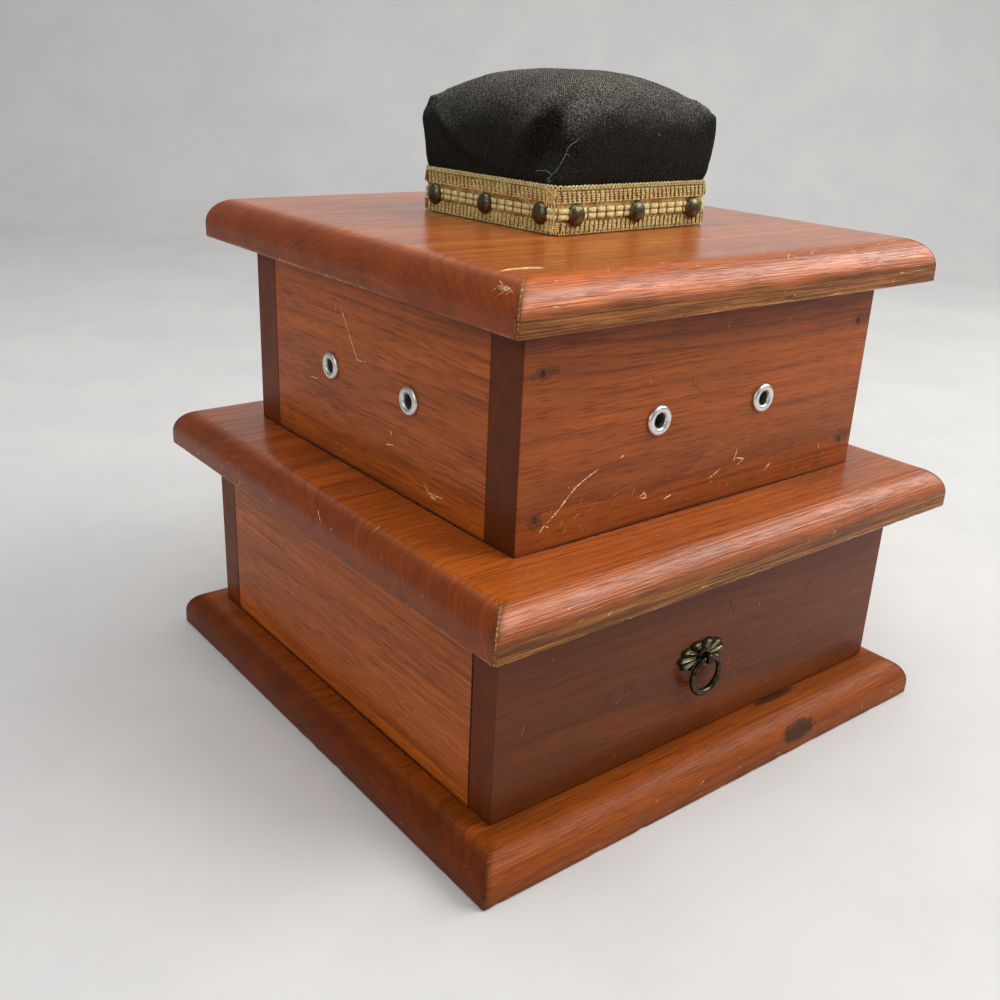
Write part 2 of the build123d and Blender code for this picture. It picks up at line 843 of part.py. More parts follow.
crown_steps = (0.93, 0.76, 0.52, 0.22)
crown = (pad_height - pad_shoulder_height) / sqrt(1 - crown_steps[-1] ** 2)
pad_levels = [
    (0, pad_base_side, pad_corner, pad_draw_in / 4),
    (pad_shoulder_height / 3, pad_base_side + 2, pad_corner, pad_draw_in / 2),
    (2 * pad_shoulder_height / 3, pad_shoulder_side - 1.5, pad_corner + 1, pad_draw_in),
    (pad_shoulder_height, pad_shoulder_side, pad_corner + 2, pad_draw_in),
] + [
    (
        pad_shoulder_height + crown * sqrt(1 - inward**2),
        pad_shoulder_side * inward**1.5,
        (pad_corner + 3) * inward,
        pad_draw_in * inward**2,
    )
    for inward in crown_steps
]
with BuildPart() as cushion_pad:
    loft([pad_outline(*level) for level in pad_levels])
cushion_pad.part.label = "cushion_pad"
export_step(cushion_pad.part, "parts/cushion_pad.step")

print("hinge axis", 0, round(hinge_axis, 3), round(rim, 3))
print("ring axis", pull_from_middle, round(ring_y, 3), round(pull_z, 3))
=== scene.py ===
"""Sewing box with one drawer, a thread box with eyelets and a pincushion on its hinged lid."""

import json
import logging
import math
import random
from dataclasses import dataclass, field
from enum import Enum
from typing import Callable, Iterable, Sequence

import bmesh
import bpy
from mathutils import Matrix, Vector, noise

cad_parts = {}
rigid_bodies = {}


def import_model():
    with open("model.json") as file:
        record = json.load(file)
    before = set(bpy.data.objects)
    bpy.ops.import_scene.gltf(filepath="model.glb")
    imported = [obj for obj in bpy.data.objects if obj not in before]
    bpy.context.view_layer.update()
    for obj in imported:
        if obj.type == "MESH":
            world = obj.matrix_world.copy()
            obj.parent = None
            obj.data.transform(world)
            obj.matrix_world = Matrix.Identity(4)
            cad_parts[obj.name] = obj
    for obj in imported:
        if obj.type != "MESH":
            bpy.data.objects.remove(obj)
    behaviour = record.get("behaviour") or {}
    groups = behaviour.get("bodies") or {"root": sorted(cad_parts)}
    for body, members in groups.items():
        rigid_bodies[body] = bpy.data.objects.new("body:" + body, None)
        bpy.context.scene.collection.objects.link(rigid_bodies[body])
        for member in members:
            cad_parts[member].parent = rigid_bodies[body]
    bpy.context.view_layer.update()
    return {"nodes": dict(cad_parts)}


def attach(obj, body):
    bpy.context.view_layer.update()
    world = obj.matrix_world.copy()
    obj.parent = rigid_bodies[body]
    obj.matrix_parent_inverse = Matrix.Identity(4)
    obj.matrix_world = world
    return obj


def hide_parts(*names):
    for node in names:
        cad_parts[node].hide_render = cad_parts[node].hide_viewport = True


for left_over in list(bpy.data.objects):
    bpy.data.objects.remove(left_over)
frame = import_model()
log = logging.getLogger("sewing_box")

MM = 0.001
Colour = tuple[float, float, float]
Point = tuple[float, float, float]
Pair = tuple[float, float]
Line = Sequence[Point]
Socket = bpy.types.NodeSocket
Tree = bpy.types.NodeTree
Material = bpy.types.Material
Mesh = bpy.types.Mesh
Piece = bpy.types.Object


# ---- Node trees -----------------------------------------------------------
class Nodes:
    """A node tree under construction, with short calls for its nodes."""

    tree: Tree

    def feed(self, socket: Socket, value: object) -> None:
        """Links a socket to another one, or sets it to a constant."""
        if isinstance(value, Socket):
            self.tree.links.new(value, socket)
        elif isinstance(value, (tuple, list)) and socket.type == "RGBA" and len(value) == 3:
            socket.default_value = (*value, 1.0)
        else:
            socket.default_value = value

    def node(self, kind: str, feeds: dict[str, object] | None = None, **settings: object) -> bpy.types.Node:
        """Adds a node, sets its properties and feeds its inputs by name."""
        made = self.tree.nodes.new(kind)
        for name, value in settings.items():
            setattr(made, name, value)
        for name, value in (feeds or {}).items():
            self.feed(next(s for s in made.inputs if s.name == name and s.enabled), value)
        return made

    def math(self, operation: str, *inputs: object, clamp: bool = False) -> Socket:
        """Adds a Math node and returns its value."""
        made = self.node("ShaderNodeMath", operation=operation, use_clamp=clamp)
        for socket, value in zip(made.inputs, inputs):
            self.feed(socket, value)
        return made.outputs[0]

    def mul(self, first: object, *factors: object, clamp: bool = False) -> Socket:
        """Multiplies numbers in turn."""
        for factor in factors:
            first = self.math("MULTIPLY", first, factor, clamp=clamp)
        return first

    def mad(self, value: object, factor: object, added: object, clamp: bool = False) -> Socket:
        """Multiplies a number by a factor and adds another."""
        return self.math("MULTIPLY_ADD", value, factor, added, clamp=clamp)

    def most(self, a: object, b: object) -> Socket:
        """Returns the greater of two numbers."""
        return self.math("MAXIMUM", a, b)


class Shader(Nodes):
    """A material under construction."""

    def __init__(self, name: str) -> None:
        """Starts an empty material of that name with one principled surface."""
        self.material = bpy.data.materials.new(name)
        self.material.use_nodes = True
        self.tree = self.material.node_tree
        self.tree.nodes.clear()
        self.surface = self.node("ShaderNodeBsdfPrincipled")
        self.node("ShaderNodeOutputMaterial", {"Surface": self.surface.outputs[0]})

    def set(self, **inputs: object) -> None:
        """Feeds inputs of the surface, named with underscores for spaces."""
        for name, value in inputs.items():
            self.feed(self.surface.inputs[name.replace("_", " ")], value)

    def vector(self, operation: str, *inputs: object) -> bpy.types.Node:
        """Adds a Vector Math node and returns the node."""
        made = self.node("ShaderNodeVectorMath", operation=operation)
        for socket, value in zip(made.inputs, inputs):
            self.feed(socket, value)
        return made

    def span(self, value: object, low: float, high: float) -> Socket:
        """Maps a value smoothly to 0 at low and 1 at high."""
        feeds = {"Value": value, "From Min": low, "From Max": high}
        return self.node("ShaderNodeMapRange", feeds, interpolation_type="SMOOTHSTEP").outputs["Result"]

    def noise(self, place: object, scale: float, detail: float = 2.0, roughness: float = 0.5) -> Socket:
        """Adds a Noise Texture read at a place and returns its factor."""
        feeds = {"Vector": place, "Scale": scale, "Detail": detail, "Roughness": roughness}
        return self.node("ShaderNodeTexNoise", feeds).outputs["Fac"]

    def blend(self, factor: object, below: object, above: object, kind: str = "MIX") -> Socket:
        """Mixes two colours and returns the result."""
        feeds = {"Factor": factor, "A": below, "B": above}
        made = self.node("ShaderNodeMix", feeds, data_type="RGBA", blend_type=kind)
        return next(s for s in made.outputs if s.type == "RGBA")

    def tinted(self, colour: object, shade: object) -> Socket:
        """Multiplies a colour by another."""
        return self.blend(1.0, colour, shade, "MULTIPLY")

    def place(self) -> Socket:
        """Returns the object coordinates, in metres."""
        return self.node("ShaderNodeTexCoord").outputs["Object"]

    def normal(self) -> Socket:
        """Returns the way that the surface faces, in object coordinates."""
        return self.node("ShaderNodeTexCoord").outputs["Normal"]

    def parts(self, vector: object) -> tuple[Socket, ...]:
        """Splits a vector into its three numbers."""
        return tuple(self.node("ShaderNodeSeparateXYZ", {"Vector": vector}).outputs)

    def join(self, x: object, y: object, z: object) -> Socket:
        """Makes a vector of three numbers."""
        return self.node("ShaderNodeCombineXYZ", {"X": x, "Y": y, "Z": z}).outputs[0]

    def grey(self, value: object) -> Socket:
        """Makes a grey of a number."""
        return self.join(value, value, value)

    def bump(self, height: object, distance: float) -> Socket:
        """Adds a Bump node for a height and returns its normal."""
        feeds = {"Strength": 1.0, "Distance": distance, "Height": height}
        return self.node("ShaderNodeBump", feeds).outputs[0]


class Growth(Nodes):
    """A geometry tree under construction, with named inputs."""

    def __init__(self, name: str, shaped: bool, **inputs: float) -> None:
        """Starts a tree.

        Args:
            name: Name of the tree.
            shaped: Whether it has an input for the shape that it repeats.
            inputs: Start values of its numbers, beside its finish and its seed.
        """
        self.tree = bpy.data.node_groups.new(name, "GeometryNodeTree")
        self.tree.is_modifier = True
        face = self.tree.interface
        face.new_socket("Geometry", in_out="INPUT", socket_type="NodeSocketGeometry")
        face.new_socket("Geometry", in_out="OUTPUT", socket_type="NodeSocketGeometry")
        if shaped:
            face.new_socket("Shape", in_out="INPUT", socket_type="NodeSocketObject")
        face.new_socket("Finish", in_out="INPUT", socket_type="NodeSocketMaterial")
        for label, start in inputs.items():
            face.new_socket(label, in_out="INPUT", socket_type="NodeSocketFloat").default_value = start
        face.new_socket("Seed", in_out="INPUT", socket_type="NodeSocketInt").default_value = 1
        self.entry = self.tree.nodes.new("NodeGroupInput")
        self.exit = self.tree.nodes.new("NodeGroupOutput")

    def given(self, name: str) -> Socket:
        """Returns the named input."""
        return self.entry.outputs[name]

    def between(self, low: object, high: object) -> Socket:
        """Returns a random number for each point, between two."""
        feeds = {"Min": low, "Max": high, "Seed": self.given("Seed")}
        return self.node("FunctionNodeRandomValue", feeds, data_type="FLOAT").outputs[1]

    def around(self, middle: object, reach: object) -> Socket:
        """Returns a random number for each point, within a reach of a middle."""
        return self.between(self.math("SUBTRACT", middle, reach), self.math("ADD", middle, reach))

    def attribute(self, name: str) -> Socket:
        """Returns the vector that each point keeps under a name."""
        made = self.node("GeometryNodeInputNamedAttribute", {"Name": name}, data_type="FLOAT_VECTOR")
        return made.outputs[0]

    def spaced(self, step: str) -> Socket:
        """Returns the lines given, their points apart by the named input."""
        curve = self.node("GeometryNodeMeshToCurve", {"Mesh": self.given("Geometry")})
        feeds = {"Curve": curve.outputs[0], "Length": self.given(step)}
        return self.node("GeometryNodeResampleCurve", feeds, mode="LENGTH").outputs[0]

    def repeat(self, points: Socket, rotation: Socket, size: Socket) -> Tree:
        """Sets the shape on every point and ends the tree."""
        shape = self.node("GeometryNodeObjectInfo", {"Object": self.given("Shape")}).outputs["Geometry"]
        feeds = {"Points": points, "Instance": shape, "Rotation": rotation, "Scale": size}
        return self.close(self.node("GeometryNodeInstanceOnPoints", feeds).outputs[0])

    def close(self, geometry: Socket) -> Tree:
        """Ends the tree in Realize Instances and Set Material, and returns it."""
        real = self.node("GeometryNodeRealizeInstances", {"Geometry": geometry})
        feeds = {"Geometry": real.outputs[0], "Material": self.given("Finish")}
        dressed = self.node("GeometryNodeSetMaterial", feeds)
        self.tree.links.new(dressed.outputs[0], self.exit.inputs[0])
        return self.tree


def add_object(name: str, mesh: Mesh) -> Piece:
    """Links a mesh into the scene as an object of that name."""
    made = bpy.data.objects.new(name, mesh)
    bpy.context.scene.collection.objects.link(made)
    return made


def evaluated(piece: Piece) -> Mesh:
    """Returns a piece's mesh as its modifiers make it, and removes them."""
    graph = bpy.context.evaluated_depsgraph_get()
    made = bpy.data.meshes.new_from_object(piece.evaluated_get(graph), depsgraph=graph)
    piece.modifiers.clear()
    return made


def grow(name: str, mesh: Mesh, tree: Tree, **inputs: object) -> Piece:
    """Runs a geometry tree on a mesh and keeps the result as a plain mesh.

    Args:
        name: Name of the object to make.
        mesh: Points or lines that the tree starts from.
        tree: The tree.
        inputs: Values of the tree's inputs.

    Returns:
        The object, with its mesh applied and no modifier left.
    """
    made = add_object(name, mesh)
    modifier = made.modifiers.new("Growth", "NODES")
    modifier.node_group = tree
    for item in tree.interface.items_tree:
        if item.in_out == "INPUT" and item.name in inputs:
            modifier[item.identifier] = inputs[item.name]
    made.data = evaluated(made)
    made.data.name = name
    return made


def repeated(name: str, shape: Mesh, mesh: Mesh, tree: Tree, finish: Material, **inputs: object) -> Piece:
    """Repeats a shape over a mesh's points, or along its lines, by a geometry tree."""
    holder = add_object(f"{name}_shape", shape)
    piece = grow(name, mesh, tree, Shape=holder, Finish=finish, **inputs)
    bpy.data.objects.remove(holder)
    return piece


def scatter_tree() -> Tree:
    """Returns the tree that sets one shape on every point, turned as the point says."""
    growth = Growth("set_at_places", True, Size=1.0, Unevenness=0.0)
    rotation = growth.node("FunctionNodeEulerToRotation", {"Euler": growth.attribute("turn")})
    size = growth.mul(growth.around(1.0, growth.given("Unevenness")), growth.given("Size"))
    return growth.repeat(growth.given("Geometry"), rotation.outputs[0], size)


def row_tree() -> Tree:
    """Returns the tree that repeats one shape along a closed line, facing outwards."""
    growth = Growth("row_along_line", True, Spacing=0.002, Unevenness=0.05, Sway=0.05, Lean=0.0)
    tangent = growth.node("GeometryNodeInputTangent").outputs[0]
    facing = growth.node(
        "FunctionNodeAlignRotationToVector", {"Vector": tangent}, axis="X", pivot_axis="Z"
    )
    lean = growth.around(growth.given("Lean"), growth.given("Sway"))
    lean = growth.node("ShaderNodeCombineXYZ", {"Y": lean}).outputs[0]
    leaning = growth.node("FunctionNodeEulerToRotation", {"Euler": lean}).outputs[0]
    turned = growth.node(
        "FunctionNodeRotateRotation", {"Rotation": facing.outputs[0], "Rotate By": leaning},
        rotation_space="LOCAL",
    )
    size = growth.around(1.0, growth.given("Unevenness"))
    return growth.repeat(growth.spaced("Spacing"), turned.outputs[0], size)


def scratch_tree() -> Tree:
    """Returns the tree that turns lines on a surface into thin, uneven, sunk scratches."""
    growth = Growth("scratches_on_surface", False, Width=0.0003, Sink=0.6, Step=0.0006, Thinnest=0.35)
    fullest, end_share, end_width = 1.15, 0.15, 0.12
    along = growth.node("GeometryNodeSplineParameter").outputs["Factor"]
    from_end = growth.math("PINGPONG", along, 0.5)
    feeds = {"Value": from_end, "From Max": end_share, "To Min": end_width, "To Max": 1.0}
    taper = growth.node("ShaderNodeMapRange", feeds).outputs[0]
    uneven = growth.between(growth.given("Thinnest"), fullest)
    radius = growth.mul(uneven, growth.given("Width"), taper)
    depth = growth.mul(radius, growth.given("Sink"), -0.5)
    feeds = {"Vector": growth.attribute("facing"), "Scale": depth}
    shift = growth.node("ShaderNodeVectorMath", feeds, operation="SCALE")
    feeds = {"Geometry": growth.spaced("Step"), "Offset": shift.outputs[0]}
    sunk = growth.node("GeometryNodeSetPosition", feeds).outputs[0]
    ring = growth.node("GeometryNodeCurvePrimitiveCircle", {"Resolution": 6, "Radius": 0.5}).outputs[0]
    feeds = {"Curve": sunk, "Profile Curve": ring, "Scale": radius, "Fill Caps": True}
    return growth.close(growth.node("GeometryNodeCurveToMesh", feeds).outputs[0])


# ---- Meshes ---------------------------------------------------------------
def mesh_of(
    name: str, points: Sequence[Sequence[float]], faces: Sequence[Sequence[int]] = (),
    edges: Sequence[Sequence[int]] = (),
) -> Mesh:
    """Makes a mesh of points, faces and edges, in metres."""
    made = bpy.data.meshes.new(name)
    made.from_pydata([tuple(p) for p in points], [tuple(e) for e in edges], [tuple(f) for f in faces])
    made.update()
    return made


def smooth(mesh: Mesh, angle: float = 35.0) -> Mesh:
    """Shades a mesh smoothly, and sharply where its faces turn by more than an angle."""
    mesh.shade_smooth()
    mesh.set_sharp_from_angle(angle=math.radians(angle))
    return mesh


def outward(mesh: Mesh) -> Mesh:
    """Merges a mesh's doubles and turns its faces outwards."""
    work = bmesh.new()
    work.from_mesh(mesh)
    bmesh.ops.remove_doubles(work, verts=work.verts, dist=1e-7)
    bmesh.ops.recalc_face_normals(work, faces=work.faces)
    work.to_mesh(mesh)
    work.free()
    return mesh


def lathe(name: str, profile: Sequence[Pair], segments: int = 48) -> Mesh:
    """Turns a profile of (radius, height) in millimetres about the Z axis.

    Args:
        name: Name of the mesh.
        profile: The profile's points; a radius of 0 closes it on the axis.
        segments: Number of steps round the axis.

    Returns:
        The turned mesh, in metres.
    """
    points: list[Vector] = []
    rings: list[list[int]] = []
    for radius, height in profile:
        if radius < 1e-6:
            rings.append([len(points)] * segments)
            points.append(Vector((0, 0, height)) * MM)
            continue
        rings.append(list(range(len(points), len(points) + segments)))
        for step in range(segments):
            angle = 2 * math.pi * step / segments
            points.append(Vector((radius * math.cos(angle), radius * math.sin(angle), height)) * MM)
    faces = []
    for lower, upper in zip(rings, rings[1:]):
        for step in range(segments):
            after = (step + 1) % segments
            corners = [lower[step], lower[after], upper[after], upper[step]]
            faces.append(list(dict.fromkeys(corners)))
    return smooth(outward(mesh_of(name, points, [f for f in faces if len(f) > 2])))


def arc(centre: Pair, radius: float, start: float, end: float, steps: int) -> list[Pair]:
    """Points on an arc about a centre, between two angles in degrees."""
    angles = [math.radians(start + (end - start) * i / steps) for i in range(steps + 1)]
    return [(centre[0] + radius * math.cos(a), centre[1] + radius * math.sin(a)) for a in angles]


def square_outline(half: float, corner: float, count: int, bends: int = 4) -> list[Pair]:
    """Points round a square with rounded corners, anticlockwise, in millimetres.

    Args:
        half: Half of the square's side.
        corner: Radius of its corners.
        count: Number of steps on each side between its corners.
        bends: Steps in each corner.

    Returns:
        The points, starting at the front side's left end.
    """
    outline = []
    for side in range(4):
        turn = math.radians(90 * side)
        cos_turn, sin_turn = math.cos(turn), math.sin(turn)
        reach = half - corner
        line = [(-reach + 2 * reach * i / count, -half) for i in range(count)]
        bend = [
            (reach + corner * math.sin(a), -reach - corner * math.cos(a))
            for a in (math.radians(90) * i / bends for i in range(bends))
        ]
        for x, y in line + bend:
            outline.append((x * cos_turn - y * sin_turn, x * sin_turn + y * cos_turn))
    return outline


def skin(name: str, rings: Sequence[Sequence[Vector]], closed_ends: bool = True) -> Mesh:
    """Joins rings of points, each of the same count, into a closed mesh.

    Args:
        name: Name of the mesh.
        rings: The rings, in metres, each running the same way.
        closed_ends: Whether the first and last rings are filled.

    Returns:
        The mesh, with its faces outwards.
    """
    count = len(rings[0])
    points = [p for ring in rings for p in ring]
    faces = []
    for level in range(len(rings) - 1):
        a, b = level * count, (level + 1) * count
        for i in range(count):
            j = (i + 1) % count
            faces.append((a + i, a + j, b + j, b + i))
    if closed_ends:
        faces.append(tuple(range(count))[::-1])
        faces.append(tuple(range((len(rings) - 1) * count, len(rings) * count)))
    return outward(mesh_of(name, points, faces))


def tube(
    name: str, path: Sequence[Vector], radius: Callable[[float], float], sides: int, closed: bool = False
) -> Mesh:
    """Makes a round tube along a path.

    Args:
        name: Name of the mesh.
        path: The path's points, in metres.
        radius: Radius in metres at a share of the path from 0 to 1.
        sides: Steps round the tube.
        closed: Whether the path's end joins its start.

    Returns:
        The tube's mesh, smooth and closed.
    """
    count = len(path)
    up = Vector((0, 0, 1))
    rings = []
    for i, point in enumerate(path):
        before = path[i - 1] if closed or i else path[0]
        after = path[(i + 1) % count] if closed or i < count - 1 else path[-1]
        run = (after - before).normalized()
        side = run.cross(up)
        if side.length < 0.1:
            side = run.cross(Vector((0, 1, 0)))
        side.normalize()
        lift = side.cross(run)
        size = radius(i / (count if closed else count - 1))
        ring = []
        for step in range(sides):
            angle = 2 * math.pi * step / sides
            ring.append(point + (side * math.cos(angle) + lift * math.sin(angle)) * size)
        rings.append(ring)
        up = lift
    if not closed:
        return smooth(skin(name, rings), 60)
    return smooth(skin(name, rings + [rings[0]], closed_ends=False), 60)


def kept(name: str, work: bmesh.types.BMesh) -> Mesh:
    """Keeps a worked mesh under a name and frees the work."""
    made = bpy.data.meshes.new(name)
    work.to_mesh(made)
    work.free()
    return made


def rounded_block(name: str, size: Point, softness: float) -> Mesh:
    """Makes a small block with softened edges, centred on the origin, in millimetres."""
    work = bmesh.new()
    bmesh.ops.create_cube(work, size=1.0)
    bmesh.ops.scale(work, vec=Vector(size) * MM, verts=work.verts)
    bmesh.ops.bevel(
        work, geom=work.edges[:], offset=softness * MM, segments=1, profile=0.5, affect="EDGES"
    )
    return smooth(kept(name, work), 80)


def places_mesh(name: str, places: Iterable[Matrix]) -> Mesh:
    """Makes one point for each place, with its turn kept as an attribute."""
    places = list(places)
    made = mesh_of(name, [p.translation for p in places])
    turn = made.attributes.new("turn", "FLOAT_VECTOR", "POINT")
    for item, place in zip(turn.data, places):
        item.vector = place.to_euler()
    return made


def place_at(point: Point, facing: Point, roll: float = 0.0) -> Matrix:
    """Place of a turned part, its Z axis along facing, in millimetres and degrees."""
    turn = Vector(facing).to_track_quat("Z", "Y").to_matrix().to_4x4()
    return Matrix.Translation(Vector(point) * MM) @ turn @ Matrix.Rotation(math.radians(roll), 4, "Z")


def line_mesh(name: str, lines: Sequence[Sequence[Sequence[float]]], closed: bool = False) -> Mesh:
    """Makes a mesh of open or closed lines through points in metres."""
    points: list[Sequence[float]] = []
    edges = []
    for line in lines:
        start = len(points)
        points.extend(line)
        edges.extend((start + i, start + i + 1) for i in range(len(line) - 1))
        if closed:
            edges.append((len(points) - 1, start))
    return mesh_of(name, points, edges=edges)


def cut(piece: Piece, cutters: Sequence[Mesh]) -> None:
    """Cuts closed meshes out of a piece."""
    tool = add_object("cutter", join_meshes("cutter", cutters))
    modifier = piece.modifiers.new("Cut", "BOOLEAN")
    modifier.object = tool
    modifier.operation = "DIFFERENCE"
    modifier.solver = "EXACT"
    modifier.use_self = True
    piece.data = evaluated(piece)
    bpy.data.objects.remove(tool)


def join_meshes(name: str, meshes: Sequence[Mesh]) -> Mesh:
    """Joins meshes into one."""
    work = bmesh.new()
    for mesh in meshes:
        work.from_mesh(mesh)
    return kept(name, work)


def moved(mesh: Mesh, place: Matrix) -> Mesh:
    """Moves a mesh to a place and returns it."""
    mesh.transform(place)
    return mesh


def finish_piece(
    piece: Piece, body: str, nodes: Sequence[str] = (), material: Material | None = None
) -> Piece:
    """Gives a piece its body and material, and hides the CAD nodes that it stands for.

    Args:
        piece: The finished piece.
        body: The body it moves with.
        nodes: CAD nodes that it replaces.
        material: Its material, unless it has one.

    Returns:
        The piece.
    """
    if material is not None:
        piece.data.materials.clear()
        piece.data.materials.append(material)
    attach(piece, body)
    if nodes:
        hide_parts(*nodes)
    log.info("%s: %d faces, rides on %s", piece.name, len(piece.data.polygons), body)
    return piece


def dressed_board(
    node: str, name: str, body: str, material: Material, edge: float = 0.5, clear: float = 0.0
) -> Piece:
    """Makes a board from its CAD node, with its doubles merged and long edges eased.

    Args:
        node: The CAD node.
        name: Name of the new piece.
        body: The body it moves with.
        material: Its finish.
        edge: Width of the eased edges, in millimetres.
        clear: Height by which the foot is raised to slide freely, in millimetres.

    Returns:
        The board, which replaces the node.
    """
    work = bmesh.new()
    work.from_mesh(frame["nodes"][node].data)
    bmesh.ops.remove_doubles(work, verts=work.verts, dist=1e-6)
    bmesh.ops.dissolve_limit(work, angle_limit=math.radians(0.5), verts=work.verts, edges=work.edges)
    long_edges = [
        e
        for e in work.edges
        if len(e.link_faces) == 2 and e.calc_length() > 8 * MM and e.calc_face_angle(0) > math.radians(60)
    ]
    bmesh.ops.bevel(
        work, geom=long_edges, offset=edge * MM, segments=2, profile=0.5, affect="EDGES", clamp_overlap=True
    )
    foot = min(v.co.z for v in work.verts)
    for vertex in work.verts:
        if vertex.co.z < foot + 0.1 * MM:
            vertex.co.z += clear * MM
    made = smooth(kept(name, work), 30)
    for face in made.polygons:
        face.use_smooth = face.area < 12 * MM * MM or min(abs(v) for v in face.normal) > 0.02
    return finish_piece(add_object(name, made), body, [node], material)


# ---- Finishes -------------------------------------------------------------
class Grain(Enum):
    """The axis that a board's grain runs along."""

    ALONG_X = "x"
    ALONG_Y = "y"
    ALONG_Z = "z"


class GrainShader(Shader):
    """A material under construction whose noise runs along a board's grain."""

    def __init__(self, name: str, grain: Grain, seed: float) -> None:
        """Starts an empty material, for the grain's axis and the board's own seed."""
        super().__init__(name)
        self.seed = seed
        self.here = self.place()
        x, y, z = self.spot = self.parts(self.here)
        self.axes = {Grain.ALONG_X: (x, y, z), Grain.ALONG_Y: (y, x, z), Grain.ALONG_Z: (z, x, y)}[grain]

    def fibres(self, run: float, wide: float, detail: float, roughness: float = 0.5) -> Socket:
        """Returns noise with so many cycles a metre along the grain and so many across it."""
        along, across, through = self.axes
        place = self.join(
            self.mad(along, run, self.seed),
            self.mad(across, wide, self.seed * 1.7),
            self.mad(through, wide, self.seed * 0.6),
        )
        return self.noise(place, 1.0, detail, roughness)


class Tone(Enum):
    """What a blemish in the varnish shows."""

    BARE = "bare wood"
    DARK = "dark stain"
    SMUDGE = "dark filler"


@dataclass(frozen=True)
class Blemish:
    """A spot on a board: a scrape, a stain or a filled nail hole.

    The centre and reach are in millimetres; ragged is how far noise breaks the edge.
    """

    tone: Tone
    centre: Point
    reach: Point
    ragged: float = 0.5

    def mask(self, shader: Shader, place: object, breakup: object) -> Socket:
        """Returns 1 inside the spot and 0 outside it."""
        apart = shader.vector("SUBTRACT", place, Vector(self.centre) * MM).outputs[0]
        scaled = shader.vector("DIVIDE", apart, Vector(self.reach) * MM).outputs[0]
        distance = shader.vector("LENGTH", scaled).outputs["Value"]
        broken = shader.mad(breakup, 2 * self.ragged, distance)
        return shader.span(broken, 1.15 + self.ragged, 0.75 + self.ragged)


